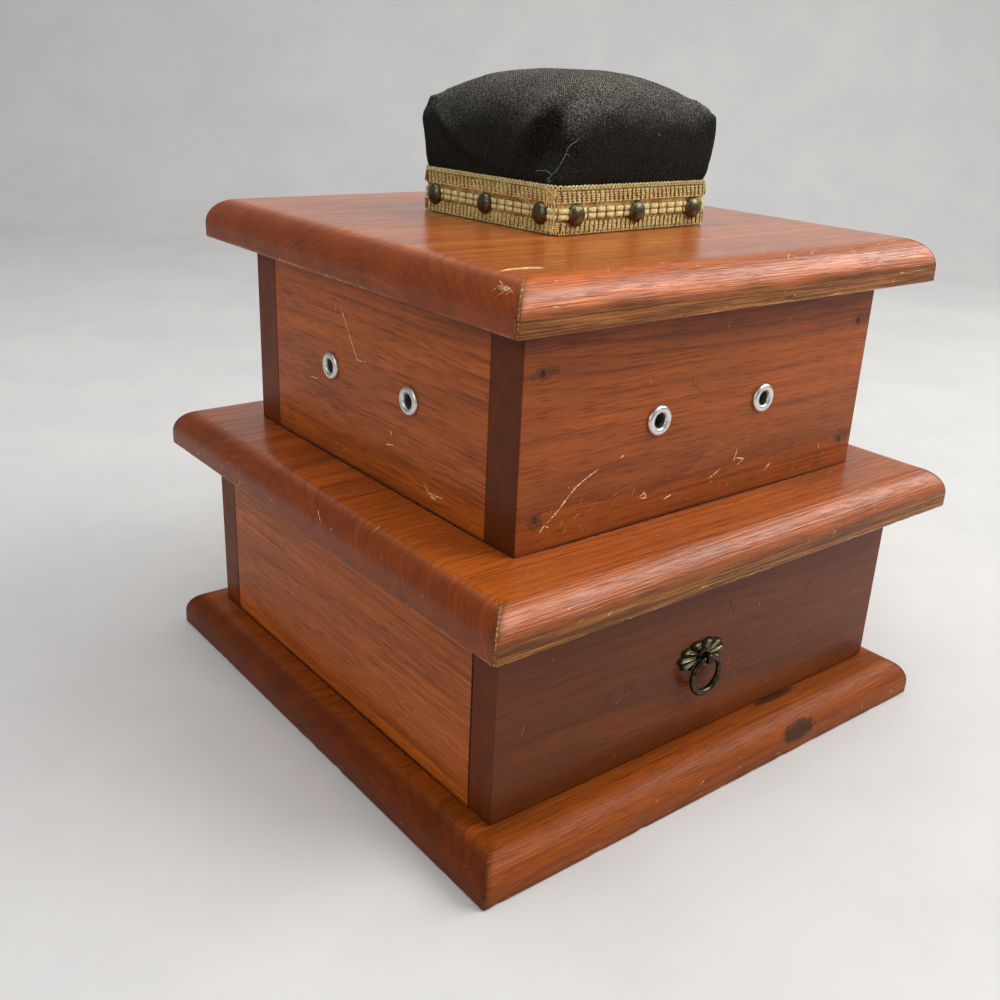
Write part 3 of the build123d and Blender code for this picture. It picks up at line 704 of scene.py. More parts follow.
@dataclass(frozen=True)
class Varnish:
    """The varnished pine of the boards: growth rings, fibres, stain and wear, and painted shade on the
    rounded edges and near the rims.

    Lengths are in millimetres. The pith is given by its two places across the grain.
    """

    name: str
    grain: Grain
    pith: Pair
    ring_pitch: float = 3.6
    ring_contrast: float = 0.55
    band_contrast: float = 0.34
    tilt: Pair = (0.02, 0.012)
    early: Colour = (0.49, 0.110, 0.012)
    late: Colour = (0.16, 0.028, 0.004)
    stain: Colour = (0.095, 0.020, 0.004)
    stain_amount: float = 0.35
    end_tone: Colour = (0.29, 0.26, 0.36)
    brightness: float = 1.0
    mitre_half: float = 0.0
    land: Pair = (0.0, 0.0)
    blemishes: tuple[Blemish, ...] = ()
    varnished: bool = True
    coat: float = 0.29
    satin: float = 0.17
    streak_relief: float = 0.8
    bare: Colour = (0.60, 0.36, 0.14)
    # Colours of the gold band from rubbing: gold low on the edge, and darker higher up as painted shade.
    gold: Colour = (0.23, 0.088, 0.016)
    rubbed_and_shaded: Colour = (0.11, 0.036, 0.006)
    curl_relief: float = 0.0
    # Heights in millimetres of a board's foot and rim, where painted shade darkens it at the foot and under
    # the overhang above.
    painted_shade_span: Pair = (0.0, 0.0)
    seed: float = 0.0

    def material(self) -> Material:
        """Builds the material."""
        shader = GrainShader(self.name, self.grain, self.seed)
        facing = shader.parts(shader.normal())[("x", "y", "z").index(self.grain.value)]
        end = shader.span(shader.math("ABSOLUTE", facing), 0.12, 0.62)
        colour, relief = self._wood(shader, end)
        wear, rubbed_gilt_and_shade = self._wear(shader, end)
        colour = self._worn(shader, colour, wear, rubbed_gilt_and_shade)
        relief = shader.mad(wear, -1.2, relief)
        bump = shader.bump(relief, 0.00008 if self.varnished else 0.00012)
        haze = shader.fibres(30, 160, 3.0, 0.7)
        gloss = shader.mad(wear, 0.3, shader.mad(haze, 0.2, 0.3))
        shader.set(Base_Color=colour, Normal=bump, Specular_IOR_Level=0.08)
        if not self.varnished:
            shader.set(Roughness=shader.math("ADD", gloss, 0.3))
            return shader.material
        spent = shader.most(shader.most(wear, shader.mul(end, 0.72)), rubbed_gilt_and_shade)
        coat = shader.mad(spent, -0.8 * self.coat, self.coat, clamp=True)
        shader.set(Roughness=gloss, Coat_Weight=coat, Coat_Roughness=self.satin, Coat_Normal=bump)
        return shader.material

    def _wood(self, shader: GrainShader, end: Socket) -> tuple[Socket, Socket]:
        """Returns the colour of the stained wood and the relief of its fibres.

        Args:
            shader: The material under construction.
            end: 1 on end grain, 0 along the board.

        Returns:
            The colour, and the height that the fibres stand up.
        """
        rings, ring_mark = self._rings(shader, end)
        fine = shader.fibres(40, 1500, 2.0, 0.6)
        bands = shader.fibres(3, 80, 2.0)
        plain = shader.mad(end, -0.9, 1.0)
        dashes = shader.mul(shader.span(shader.fibres(85, 1500, 1.0, 0.4), 0.56, 0.66), plain)
        line = shader.span(shader.fibres(13, 900, 1.0, 0.4), 0.54, 0.61)
        lines = shader.mul(line, shader.span(shader.fibres(19, 90, 2.0), 0.38, 0.6), plain)
        streak = shader.math("SUBTRACT", shader.fibres(15, 560, 3.0, 0.65), 0.5)
        streak = shader.mad(streak, plain, 0.5)
        tint = shader.mad(fine, 0.45, 0.68)
        banded = shader.mad(bands, 2 * self.band_contrast, 1.0 - self.band_contrast)
        tint = shader.mul(tint, shader.mad(streak, 0.56, 0.66), banded, shader.mad(ring_mark, 0.2, 0.9))
        tint = shader.mul(tint, 1.1 * self.brightness)
        colour = shader.tinted(shader.blend(rings, self.early, self.late), shader.grey(tint))
        clouded = shader.mul(shader.span(self._cloud(shader), 0.44, 0.74), self.stain_amount)
        clouded = shader.mul(clouded, shader.mad(end, -0.6, 1.0))
        colour = shader.blend(clouded, colour, self.stain)
        colour = shader.blend(shader.mul(lines, 0.55), colour, self.late)
        colour = shader.blend(shader.mul(dashes, 0.42), colour, self.stain)
        pores = shader.noise(shader.here, 1300.0, 2.0, 0.6)
        open_end = tuple(1.35 * share for share in self.end_tone)
        end_shade = shader.blend(shader.span(pores, 0.3, 0.75), self.end_tone, open_end)
        colour = shader.blend(end, colour, shader.tinted(colour, end_shade))
        relief = shader.mad(rings, 0.3, shader.mul(fine, 0.9))
        relief = shader.mad(streak, self.streak_relief, relief)
        relief = shader.mad(shader.noise(shader.here, 95.0), 1.3, relief)
        if self.curl_relief:
            _, _, up = shader.parts(shader.normal())
            curved = shader.span(shader.math("ABSOLUTE", up), 0.999, 0.96)
            curl = shader.fibres(16, 900, 3.0, 0.65)
            curl = shader.mul(curl, curved, self.curl_relief, shader.mad(end, -0.85, 1.0))
            relief = shader.math("ADD", relief, curl)
        return colour, shader.mad(dashes, -0.5, relief)

    def _cloud(self, shader: GrainShader) -> Socket:
        """Returns the slow noise that the stain and the painted shade at the rim gather by."""
        return shader.fibres(9, 52, 4.0, 0.62)

    def _worn(self, shader: GrainShader, colour: Socket, wear: object, rubbed_gilt_and_shade: object) -> Socket:
        """Returns the colour with its bare places and gold band, its stains, and painted shade: on the band's
        upper part, under the rim and at the foot.
        """
        z = shader.spot[2]
        fibre = shader.fibres(26, 1150, 3.0, 0.7)
        fibre_tint = shader.grey(shader.most(shader.mad(fibre, 6.4, -2.5), 0.22))
        # Painted shade: the gold band turns darker higher up the rounded edge.
        upper = shader.span(z, (self.land[0] + 5.5) * MM, (self.land[0] + 8.5) * MM)
        gold_and_shade = shader.blend(upper, self.gold, self.rubbed_and_shaded)
        colour = shader.blend(rubbed_gilt_and_shade, colour, shader.tinted(gold_and_shade, fibre_tint))
        colour = shader.blend(wear, colour, shader.tinted(self.bare, fibre_tint))
        colour = self._stains(shader, colour)
        # Painted shade: the board darkens under the overhang at its rim and at its foot on the slab.
        if self.painted_shade_span[1] > self.painted_shade_span[0]:
            foot, rim = self.painted_shade_span[0] * MM, self.painted_shade_span[1] * MM
            ragged = shader.mad(self._cloud(shader), 0.006, z)
            painted_shade = shader.mul(shader.span(ragged, rim - 0.011, rim + 0.002), 0.9)
            painted_shade = shader.most(painted_shade, shader.mul(shader.span(z, foot + 0.0022, foot), 0.7))
            colour = shader.blend(painted_shade, colour, shader.tinted(colour, (0.34, 0.24, 0.18)))
        return colour

    def _rings(self, shader: GrainShader, end: Socket) -> tuple[Socket, Socket]:
        """Returns the late wood's share of each growth ring and a number for each ring."""
        along, across, through = shader.axes
        drift = shader.fibres(4, 9, 2.0)
        offset_a = shader.mad(along, self.tilt[0], -self.pith[0] * MM)
        offset_b = shader.mad(along, self.tilt[1], -self.pith[1] * MM)
        a = shader.math("ADD", across, offset_a)
        b = shader.math("ADD", through, offset_b)
        squares = shader.math("ADD", shader.mul(a, a), shader.mul(b, b))
        radius = shader.mad(drift, 0.012, shader.math("SQRT", squares))
        phase = shader.math("DIVIDE", radius, self.ring_pitch * MM)
        ripple = shader.fibres(16, 55, 2.0)
        phase = shader.mad(ripple, 0.6, phase)
        share = shader.math("FRACT", phase)
        late = shader.mul(shader.span(share, 0.5, 0.93), shader.span(share, 1.0, 0.95))
        number = shader.node("ShaderNodeTexWhiteNoise", noise_dimensions="1D")
        shader.feed(number.inputs["W"], shader.math("FLOOR", phase))
        mark = number.outputs["Value"]
        fading = shader.fibres(14, 150, 2.0, 0.6)
        strength = shader.mul(shader.mad(mark, 0.9, 0.2), shader.mad(fading, 1.6, 0.1), self.ring_contrast)
        strength = shader.mul(strength, shader.mad(end, -0.4, 1.0))
        return shader.mul(late, strength, clamp=True), mark

    def _stains(self, shader: GrainShader, colour: Socket) -> Socket:
        """Returns the colour with the dark stains and filler smudges laid over it."""
        for mark in self.blemishes:
            if mark.tone is Tone.BARE:
                continue
            mask = mark.mask(shader, shader.here, shader.noise(shader.here, 420.0, 3.0, 0.6))
            strength = 0.8 if mark.tone is Tone.DARK else 0.5
            dark = (0.017, 0.014, 0.008) if mark.tone is Tone.DARK else (0.045, 0.018, 0.009)
            colour = shader.blend(shader.mul(mask, strength), colour, dark)
        return colour

    def _wear(self, shader: GrainShader, end: Socket) -> tuple[object, object]:
        """Returns where the varnish is gone to bare wood, and where only the gold band from rubbing shows; up
        the rounded edge that band is painted shade.
        """
        x, y, z = shader.spot
        grit = shader.noise(shader.here, 260.0, 4.0, 0.7)
        patch = shader.noise(shader.here, 42.0)
        wear: object = 0.0
        rubbed_gilt_and_shade: object = 0.0
        if self.mitre_half:
            ax, ay = shader.math("ABSOLUTE", x), shader.math("ABSOLUTE", y)
            off_ridge = shader.math("ABSOLUTE", shader.math("SUBTRACT", ax, ay))
            near = shader.mad(grit, 0.003, off_ridge)
            start = (self.mitre_half - 13.0) * MM
            outer = shader.span(shader.most(ax, ay), start, start + 0.004)
            ridge = shader.mul(shader.span(near, 0.0022, 0.0013), outer)
            wear = shader.mul(ridge, shader.span(patch, 0.4, 0.62), 0.8)
            soft = shader.mul(shader.span(near, 0.0055, 0.002), outer)
            rubbed_gilt_and_shade = shader.mul(soft, 0.5)
        # The gold band runs from the land up the rounded edge; there it also carries painted shade.
        if self.land[1] > self.land[0]:
            low, high = self.land[0] * MM, self.land[1] * MM
            rise = shader.mad(grit, 0.0022, shader.math("SUBTRACT", z, low))
            nibbled = shader.mul(shader.span(rise, 0.0024, 0.0013), shader.span(patch, 0.42, 0.6))
            wear = shader.most(wear, shader.mul(nibbled, 0.75))
            height = shader.mad(patch, 0.006, shader.math("SUBTRACT", z, low))
            rubbed_and_shaded = shader.span(height, (high - low) + 0.006, (high - low) - 0.001)
            _, _, up = shader.parts(shader.normal())
            side = shader.mad(end, -0.8, 0.8)
            side = shader.mul(side, shader.span(up, -0.7, -0.2))
            wear = shader.mul(wear, shader.span(up, -0.9, -0.5))
            rubbed_gilt_and_shade = shader.most(rubbed_gilt_and_shade, shader.mul(rubbed_and_shaded, side))
        for mark in self.blemishes:
            if mark.tone is Tone.BARE:
                wear = shader.most(wear, mark.mask(shader, shader.here, grit))
        return wear, rubbed_gilt_and_shade


@dataclass(frozen=True)
class Metal:
    """A metal with its tarnish, dents and fine scratches."""

    name: str
    clean: Colour
    tarnish: Colour
    roughness: float
    tarnish_from: float = 0.45
    tarnish_to: float = 0.65
    dents: float = 0.00002
    scale: float = 600.0
    hollow: Pair = (0.0, 0.0)

    def material(self) -> Material:
        """Builds the material."""
        shader = Shader(self.name)
        place = shader.place()
        spots = shader.noise(place, self.scale, 4.0, 0.65)
        fine = shader.noise(place, self.scale * 7, 2.0, 0.6)
        amount = shader.span(spots, self.tarnish_from, self.tarnish_to)
        if self.hollow[0] != self.hollow[1]:
            _, y, _ = shader.parts(place)
            sunk = shader.span(y, self.hollow[0] * MM, self.hollow[1] * MM)
            amount = shader.most(shader.mul(amount, 0.6), sunk)
        colour = shader.blend(amount, self.clean, self.tarnish)
        rough = shader.mad(amount, 0.2, self.roughness)
        rough = shader.mad(fine, 0.12, rough)
        height = shader.mad(fine, 0.25, spots)
        shader.set(
            Base_Color=colour, Metallic=1.0, Roughness=rough, Normal=shader.bump(height, self.dents)
        )
        return shader.material


@dataclass(frozen=True)
class Wool:
    """The pincushion's black woven wool, with painted light on its crown: lighter and a little brown where it
    faces up.
    """

    name: str = "black_wool"
    thread: float = 1.35
    dark: Colour = (0.0050, 0.0045, 0.0038)
    # Colour of the painted light on the crown.
    wear_and_light: Colour = (0.19, 0.178, 0.15)
    fleck: Colour = (0.34, 0.32, 0.28)

    def material(self) -> Material:
        """Builds the material; the weave follows the cloth's own map."""
        shader = Shader(self.name)
        place = shader.place()
        cloth = shader.node("ShaderNodeUVMap", uv_map="cloth").outputs[0]
        wander = shader.noise(place, 90.0, 2.0)
        u, v, _ = shader.parts(cloth)
        pitch = 2 * math.pi / (self.thread * MM)
        warp = shader.math("SINE", shader.mad(wander, 14.0, shader.mul(u, pitch)))
        weft = shader.math("SINE", shader.mad(wander, 14.0, shader.mul(v, pitch)))
        weave = shader.mul(warp, weft)
        fuzz = shader.span(shader.noise(place, 1500.0, 2.0, 0.6), 0.4, 0.64)
        grain = shader.noise(place, 900.0, 2.0, 0.6)
        wear_and_light = shader.noise(place, 34.0, 3.0, 0.6)
        _, _, up = shader.parts(shader.normal())
        _, _, height = shader.parts(place)
        # Painted light: the cloth turns lighter where it faces up on the crown, in noisy patches.
        crown = shader.mul(shader.span(up, 0.05, 0.95), shader.span(height, 0.262, 0.284))
        amount = shader.mul(crown, shader.mad(wear_and_light, 1.1, 0.3), clamp=True)
        amount = shader.most(amount, 0.045)
        colour = shader.blend(amount, self.dark, self.wear_and_light)
        shade = shader.mad(weave, 0.85, 0.95)
        shade = shader.mul(shade, shader.mad(fuzz, 1.7, 0.2))
        colour = shader.tinted(colour, shader.grey(shade))
        flecks = shader.mul(shader.span(fuzz, 0.6, 1.0), shader.span(grain, 0.5, 0.62))
        # The pale flecks show more on the crown, partly as painted light.
        flecks = shader.mul(flecks, shader.mad(crown, 0.42, 0.1))
        colour = shader.blend(flecks, colour, self.fleck)
        height = shader.mad(fuzz, 0.9, weave)
        shader.set(
            Base_Color=colour, Roughness=0.95, Specular_IOR_Level=0.08, Sheen_Weight=0.06,
            Sheen_Roughness=0.4, Sheen_Tint=(0.8, 0.78, 0.7, 1.0), Normal=shader.bump(height, 0.00045),
        )
        return shader.material


@dataclass(frozen=True)
class Gilt:
    """The braid's metallic thread, wound so finely that it shows as ribs."""

    name: str
    bright: Colour
    dull: Colour
    rib: float = 0.32
    roughness: float = 0.38
    metallic: float = 0.75

    def material(self) -> Material:
        """Builds the material."""
        shader = Shader(self.name)
        place = shader.place()
        wear_and_light = shader.noise(place, 130.0, 3.0, 0.65)
        thread = shader.noise(place, 3200.0, 2.0, 0.6)
        x, y, z = shader.parts(place)
        around = shader.math("ADD", x, y)
        slant = shader.mad(z, 0.8, around)
        ribs = shader.math("SINE", shader.mul(slant, 2 * math.pi / (self.rib * MM)))
        colour = shader.blend(shader.span(wear_and_light, 0.34, 0.66), self.bright, self.dull)
        # Painted glints: random spots of brighter colour on the thread.
        painted_glint = shader.noise(place, 1100.0, 2.0, 0.6)
        shade = shader.mad(shader.span(painted_glint, 0.36, 0.64), 0.62, 0.7)
        shade = shader.mul(shade, shader.mad(thread, 0.8, 0.62))
        colour = shader.tinted(colour, shader.grey(shade))
        height = shader.mad(thread, 1.0, ribs)
        shader.set(
            Base_Color=colour, Metallic=self.metallic, Roughness=shader.mad(thread, 0.25, self.roughness),
            Normal=shader.bump(height, 0.00007),
        )
        return shader.material


@dataclass(frozen=True)
class Matte:
    """A dull finish with two mottled colours, such as filler, lint or a bare scratch."""

    name: str
    light: Colour
    dark: Colour
    scale: float = 500.0
    roughness: float = 0.7
    relief: float = 0.00003

    def material(self) -> Material:
        """Builds the material."""
        shader = Shader(self.name)
        place = shader.place()
        spots = shader.noise(place, self.scale, 4.0, 0.65)
        colour = shader.blend(shader.span(spots, 0.35, 0.65), self.light, self.dark)
        rough = shader.mad(spots, 0.15, self.roughness)
        normal = shader.bump(spots, self.relief)
        shader.set(Base_Color=colour, Roughness=rough, Specular_IOR_Level=0.15, Normal=normal)
        return shader.material


# ---- Sub-assemblies -------------------------------------------------------
@dataclass
class Screws:
    """Countersunk slotted screws: shape, places and the bores that they sit in."""

    name: str
    node: str
    body: str
    places: Sequence[Matrix]
    radius: float
    head_radius: float
    length: float
    inset: float = 0.1
    fit: float = 0.05
    slot_width: float = 0.8
    slot_depth: float = 0.9

    def shape(self) -> Mesh:
        """Builds one screw, its head's top just under z 0 and its shank down."""
        head = self.head_radius - self.radius
        top = -self.inset
        profile = [(0.0, top), (self.head_radius - 0.25, top), (self.head_radius, top - 0.12)]
        profile += [(self.radius, top - head)]
        z = top - head - 1.5
        while z > top - self.length + 3:
            profile += [(self.radius, z), (self.radius * 0.72, z - 0.5), (self.radius, z - 1.0)]
            z -= 1.6
        profile += [(self.radius * 0.6, top - self.length + 1.5), (0.0, top - self.length)]
        made = lathe(f"{self.name}_shape", profile, 20)
        holder = add_object("screw_shape", made)
        groove = rounded_block(
            "groove", (2 * self.head_radius + 2, self.slot_width, 2 * self.slot_depth), 0.05
        )
        cut(holder, [moved(groove, Matrix.Translation((0, 0, top * MM)))])
        made = holder.data
        bpy.data.objects.remove(holder)
        return smooth(made, 35)

    def bores(self) -> list[Mesh]:
        """Builds the holes that these screws need, as closed cutters."""
        fit = self.fit
        head = self.head_radius - self.radius
        profile = [
            (0.0, 1.0), (self.head_radius + fit, 1.0), (self.head_radius + fit, -self.inset),
            (self.radius + fit, -self.inset - head), (self.radius + fit, -self.inset - self.length - fit),
            (0.0, -self.inset - self.length - fit),
        ]
        return [moved(lathe("bore", profile, 24), place) for place in self.places]

    def build(self, tree: Tree, finish: Material) -> Piece:
        """Sets a screw at each place."""
        points = places_mesh(self.name, self.places)
        piece = repeated(self.name, self.shape(), points, tree, finish)
        return finish_piece(piece, self.body, [self.node])


@dataclass
class Slab:
    """A square slab with its top edges rounded over and its lower edges eased."""

    node: str
    name: str
    body: str
    slot: str
    side: float
    bottom: float
    varnish: Varnish
    thickness: float = 19.0
    round_over: float = 12.7
    eased: float = 1.0
    corner: float = 1.3
    nick_depth: float = 0.55
    seed: int = 1

    def rings(self) -> list[Pair]:
        """Returns the edge's profile as (inset, height), from the underside up."""
        low = arc((self.eased, self.eased), self.eased, -90, -180, 4)
        high = arc((self.round_over, self.thickness - self.round_over), self.round_over, 180, 90, 14)
        land = [(0.0, low[-1][1] + (high[0][1] - low[-1][1]) * i / 3) for i in (1, 2)]
        return [(max(0.0, x), z) for x, z in low + land + high] + [(self.round_over + 1.5, self.thickness)]

    def build(self, cutters: Sequence[Mesh]) -> Piece:
        """Builds the slab, with nicks along its lower edge, and cuts its holes."""
        rings = []
        for inset, height in self.rings():
            outline = square_outline(self.side / 2 - inset, self.corner, round(self.side / 2.5))
            ring = []
            for x, y in outline:
                point = Vector((x, y, self.bottom + height))
                low = max(0.0, 1.0 - height / 4.0)
                rough = noise.noise(Vector((x * 0.21, y * 0.21, self.seed * 7.7)))
                fine = noise.noise(Vector((x * 0.6, y * 0.6, self.seed * 3.1)))
                nick = max(0.0, rough + 0.5 * fine - 0.22) * self.nick_depth * 2 * low
                wave = 0.12 * (1 + noise.noise(Vector((x * 0.03, y * 0.03, height * 0.1 + self.seed))))
                inward = Vector((-x, -y, 0)).normalized() * (nick + wave * min(1.0, height / 3))
                ring.append((point + inward) * MM)
            rings.append(ring)
        piece = add_object(self.name, skin(self.name, rings))
        if cutters:
            cut(piece, cutters)
        smooth(piece.data, 28)
        return finish_piece(piece, self.body, [self.node], self.varnish.material())


@dataclass
class Eyelets:
    """The eyelets that the threads run out through, two in each wall of the upper box."""

    face: float = 105.5
    height: float = 170.5
    spacing: float = 65.0
    bore: float = 3.1
    barrel: float = 3.9
    flange: float = 6.6
    dome: float = 1.8
    length: float = 12.0

    def shape(self) -> Mesh:
        """Builds one eyelet, its flange at z 0 and its barrel down."""
        middle = (self.bore + self.flange) / 2
        half = (self.flange - self.bore) / 2
        rim = [
            (middle + half * math.cos(a), 0.22 + (self.dome - 0.22) * math.sin(a) ** 0.8)
            for a in (math.pi * i / 12 for i in range(13))
        ]
        lip = [(self.barrel, 0.0), (self.flange - 0.1, 0.0)]
        throat = [(self.bore, -1.0), (self.bore, -self.length + 0.6), (self.bore + 0.25, -self.length)]
        barrel = [(self.barrel, -self.length + 0.3), (self.barrel, 0.0)]
        return lathe("eyelet", lip + rim + throat + barrel, 56)

    def places(self, turn: int) -> list[Matrix]:
        """Returns the places of one wall's eyelets; turn 0 is the front, 90 the right."""
        spin = Matrix.Rotation(math.radians(turn), 4, "Z")
        half = self.spacing / 2
        return [spin @ place_at((x, -self.face, self.height), (0, -1, 0)) for x in (-half, half)]

    def build(self, tree: Tree, finish: Material) -> None:
        """Sets the eyelets in the four walls."""
        shape = self.shape()
        for wall, turn in (("front", 0), ("right", 90), ("back", 180), ("left", 270)):
            name = f"thread_eyelets_{wall}"
            piece = repeated(name, shape, places_mesh(name, self.places(turn)), tree, finish)
            finish_piece(piece, "case", [f"eyelets_{wall}"])


@dataclass
class SpoolPins:
    """The dowels inside the upper box that the thread reels stand on."""

    line: float = 60.5
    spread: float = 32.5
    radius: float = 3.0
    floor: float = 126.5
    height: float = 50.0
    socket: float = 8.0

    def places(self) -> list[Matrix]:
        """Returns each pin's place, on the box's floor."""
        spots = [(a, b) for a in (-self.spread, self.spread) for b in (-self.line, self.line)]
        spots += [(b, a) for a, b in spots]
        return [place_at((x, y, self.floor), (0, 0, 1), 37.0 * i) for i, (x, y) in enumerate(spots)]

    def sockets(self) -> list[Mesh]:
        """Returns the holes that the pins stand in."""
        wide = self.radius + 0.05
        profile = [(0.0, 1.0), (wide, 1.0), (wide, -self.socket), (0.0, -self.socket)]
        return [moved(lathe("socket", profile, 24), place) for place in self.places()]

    def build(self, tree: Tree, finish: Material) -> Piece:
        """Sets the pins."""
        r, top = self.radius, self.height
        profile = [(0.0, -self.socket), (r, -self.socket), (r, 0.0), (r, top * 0.5), (r, top - r / 2)]
        profile += arc((r / 2, top - r / 2), r / 2, 15, 90, 6) + [(0.0, top)]
        name = "thread_spool_pins"
        pin = lathe("spool_pin", profile, 28)
        piece = repeated(name, pin, places_mesh(name, self.places()), tree, finish)
        return finish_piece(piece, "case", ["spool_pins"])


@dataclass
class Pull:
    """The drawer's drop ring on its elongated flower-shaped plate."""

    middle: Point = (-7.5, -121.5, 61.5)
    plate_width: float = 30.0
    plate_height: float = 15.0
    plate_relief: float = 2.9
    petals: int = 10
    post_radius: float = 1.85
    post_end: float = 19.9
    ring_stand_off: float = 4.6
    ring_radius: float = 8.6
    ring_wire: float = 1.2
    eye_radius: float = 2.9
    eye_hole: float = 1.5

    def plate(self) -> Mesh:
        """Builds the flower plate: scrolled petals with a rib each, round a sunk middle."""
        around, outwards = 200, 26
        rows: list[list[Vector]] = []
        for step in range(outwards + 1):
            share = step / outwards
            row = []
            for spoke in range(around):
                angle = 2 * math.pi * spoke / around
                lobe = abs(math.sin(self.petals * angle / 2 + math.pi / 2))
                edge = 1.0 - 0.17 * (1 - lobe**0.6)
                x = self.plate_width / 2 * edge * share * math.cos(angle)
                z = self.plate_height / 2 * edge * share * math.sin(angle) * (1 + 0.08 * math.cos(angle) ** 2)
                cup = math.sin(math.pi * min(1.0, share * 1.02)) ** 0.7
                petal = cup * (0.35 + 0.65 * lobe)
                rib = 0.32 * math.exp(-(((1 - lobe) / 0.05) ** 2)) * cup
                scroll = 0.6 * math.exp(-(((share - 0.84) / 0.09) ** 2)) * lobe
                veins = 0.3 * math.sin(3 * self.petals * angle) * cup
                hub = 0.9 * math.exp(-((share / 0.2) ** 4))
                rise = 0.35 + self.plate_relief * (0.42 * petal + 0.35 * scroll + 0.2 * hub) + rib + veins
                if step == outwards:
                    rise = 0.3
                row.append(Vector((x, -rise, z)))
            rows.append(row)
        centre = Vector((0, -rows[0][0].length, 0))
        points = [centre] + [p for row in rows[1:] for p in row]
        base = len(points)
        points += [Vector((p.x, 0.0, p.z)) for p in rows[-1]] + [Vector((0, 0, 0))]
        faces: list[tuple[int, ...]] = []
        for i in range(around):
            j = (i + 1) % around
            faces.append((0, 1 + i, 1 + j))
            for ring in range(outwards - 1):
                a, b = 1 + ring * around, 1 + (ring + 1) * around
                faces.append((a + i, b + i, b + j, a + j))
            a = 1 + (outwards - 1) * around
            faces.append((a + i, base + i, base + j, a + j))
            faces.append((base + i, len(points) - 1, base + j))
        origin = Vector(self.middle)
        made = mesh_of("flower_plate", [(p + origin) * MM for p in points], faces)
        return smooth(outward(made), 60)

    def post(self) -> Mesh:
        """Builds the post with its collar and the eye that holds the ring."""
        stand = self.ring_stand_off
        profile = [(0.0, -self.post_end), (self.post_radius, -self.post_end), (self.post_radius, 1.4)]
        profile += [(3.6, 1.5), (3.7, 2.2), (2.9, 2.6), (2.5, 2.9), (2.1, stand - 2.2), (0.0, stand - 2.0)]
        shank = moved(lathe("post", profile, 32), place_at(self.middle, (0, -1, 0)))
        hole, rim, half = self.eye_hole, self.eye_radius, 1.5
        loop = [(hole, 0.0), (hole + 0.3, half * 0.75), (hole + 0.7, half)]
        loop += [(rim - 0.45, half * 0.8), (rim, 0.35)]
        loop = loop + [(r, -z) for r, z in reversed(loop[1:])] + [loop[0]]
        x, y, z = self.middle
        eye = moved(lathe("eye", loop, 40), place_at((x, y - stand, z), (1, 0, 0)))
        return join_meshes("pull_post_and_eye", [shank, eye])

    def ring(self) -> Mesh:
        """Builds the ring, a little fuller at its foot."""
        x, y, z = self.middle
        centre = Vector((x, y - self.ring_stand_off, z - self.ring_radius))
        path = []
        for step in range(96):
            angle = 2 * math.pi * step / 96
            path.append((centre + Vector((math.sin(angle), 0, math.cos(angle))) * self.ring_radius) * MM)

        def wire(share: float) -> float:
            """Radius of the wire at a share of the way round from the top, in metres."""
            return (self.ring_wire + 0.2 * (1 - math.cos(2 * math.pi * share))) * MM

        return tube("drop_ring", path, wire, 18, True)

    def build(self, finish: Material, ring_finish: Material) -> None:
        """Builds and dresses the pull."""
        plate = add_object("flower_plate", self.plate())
        finish_piece(plate, "drawer", ["pull_backplate"], finish)
        post = add_object("pull_post_and_eye", self.post())
        finish_piece(post, "drawer", ["pull_post"], ring_finish)
        ring = add_object("drop_ring", self.ring())
        finish_piece(ring, "ring", ["pull_ring"], ring_finish)


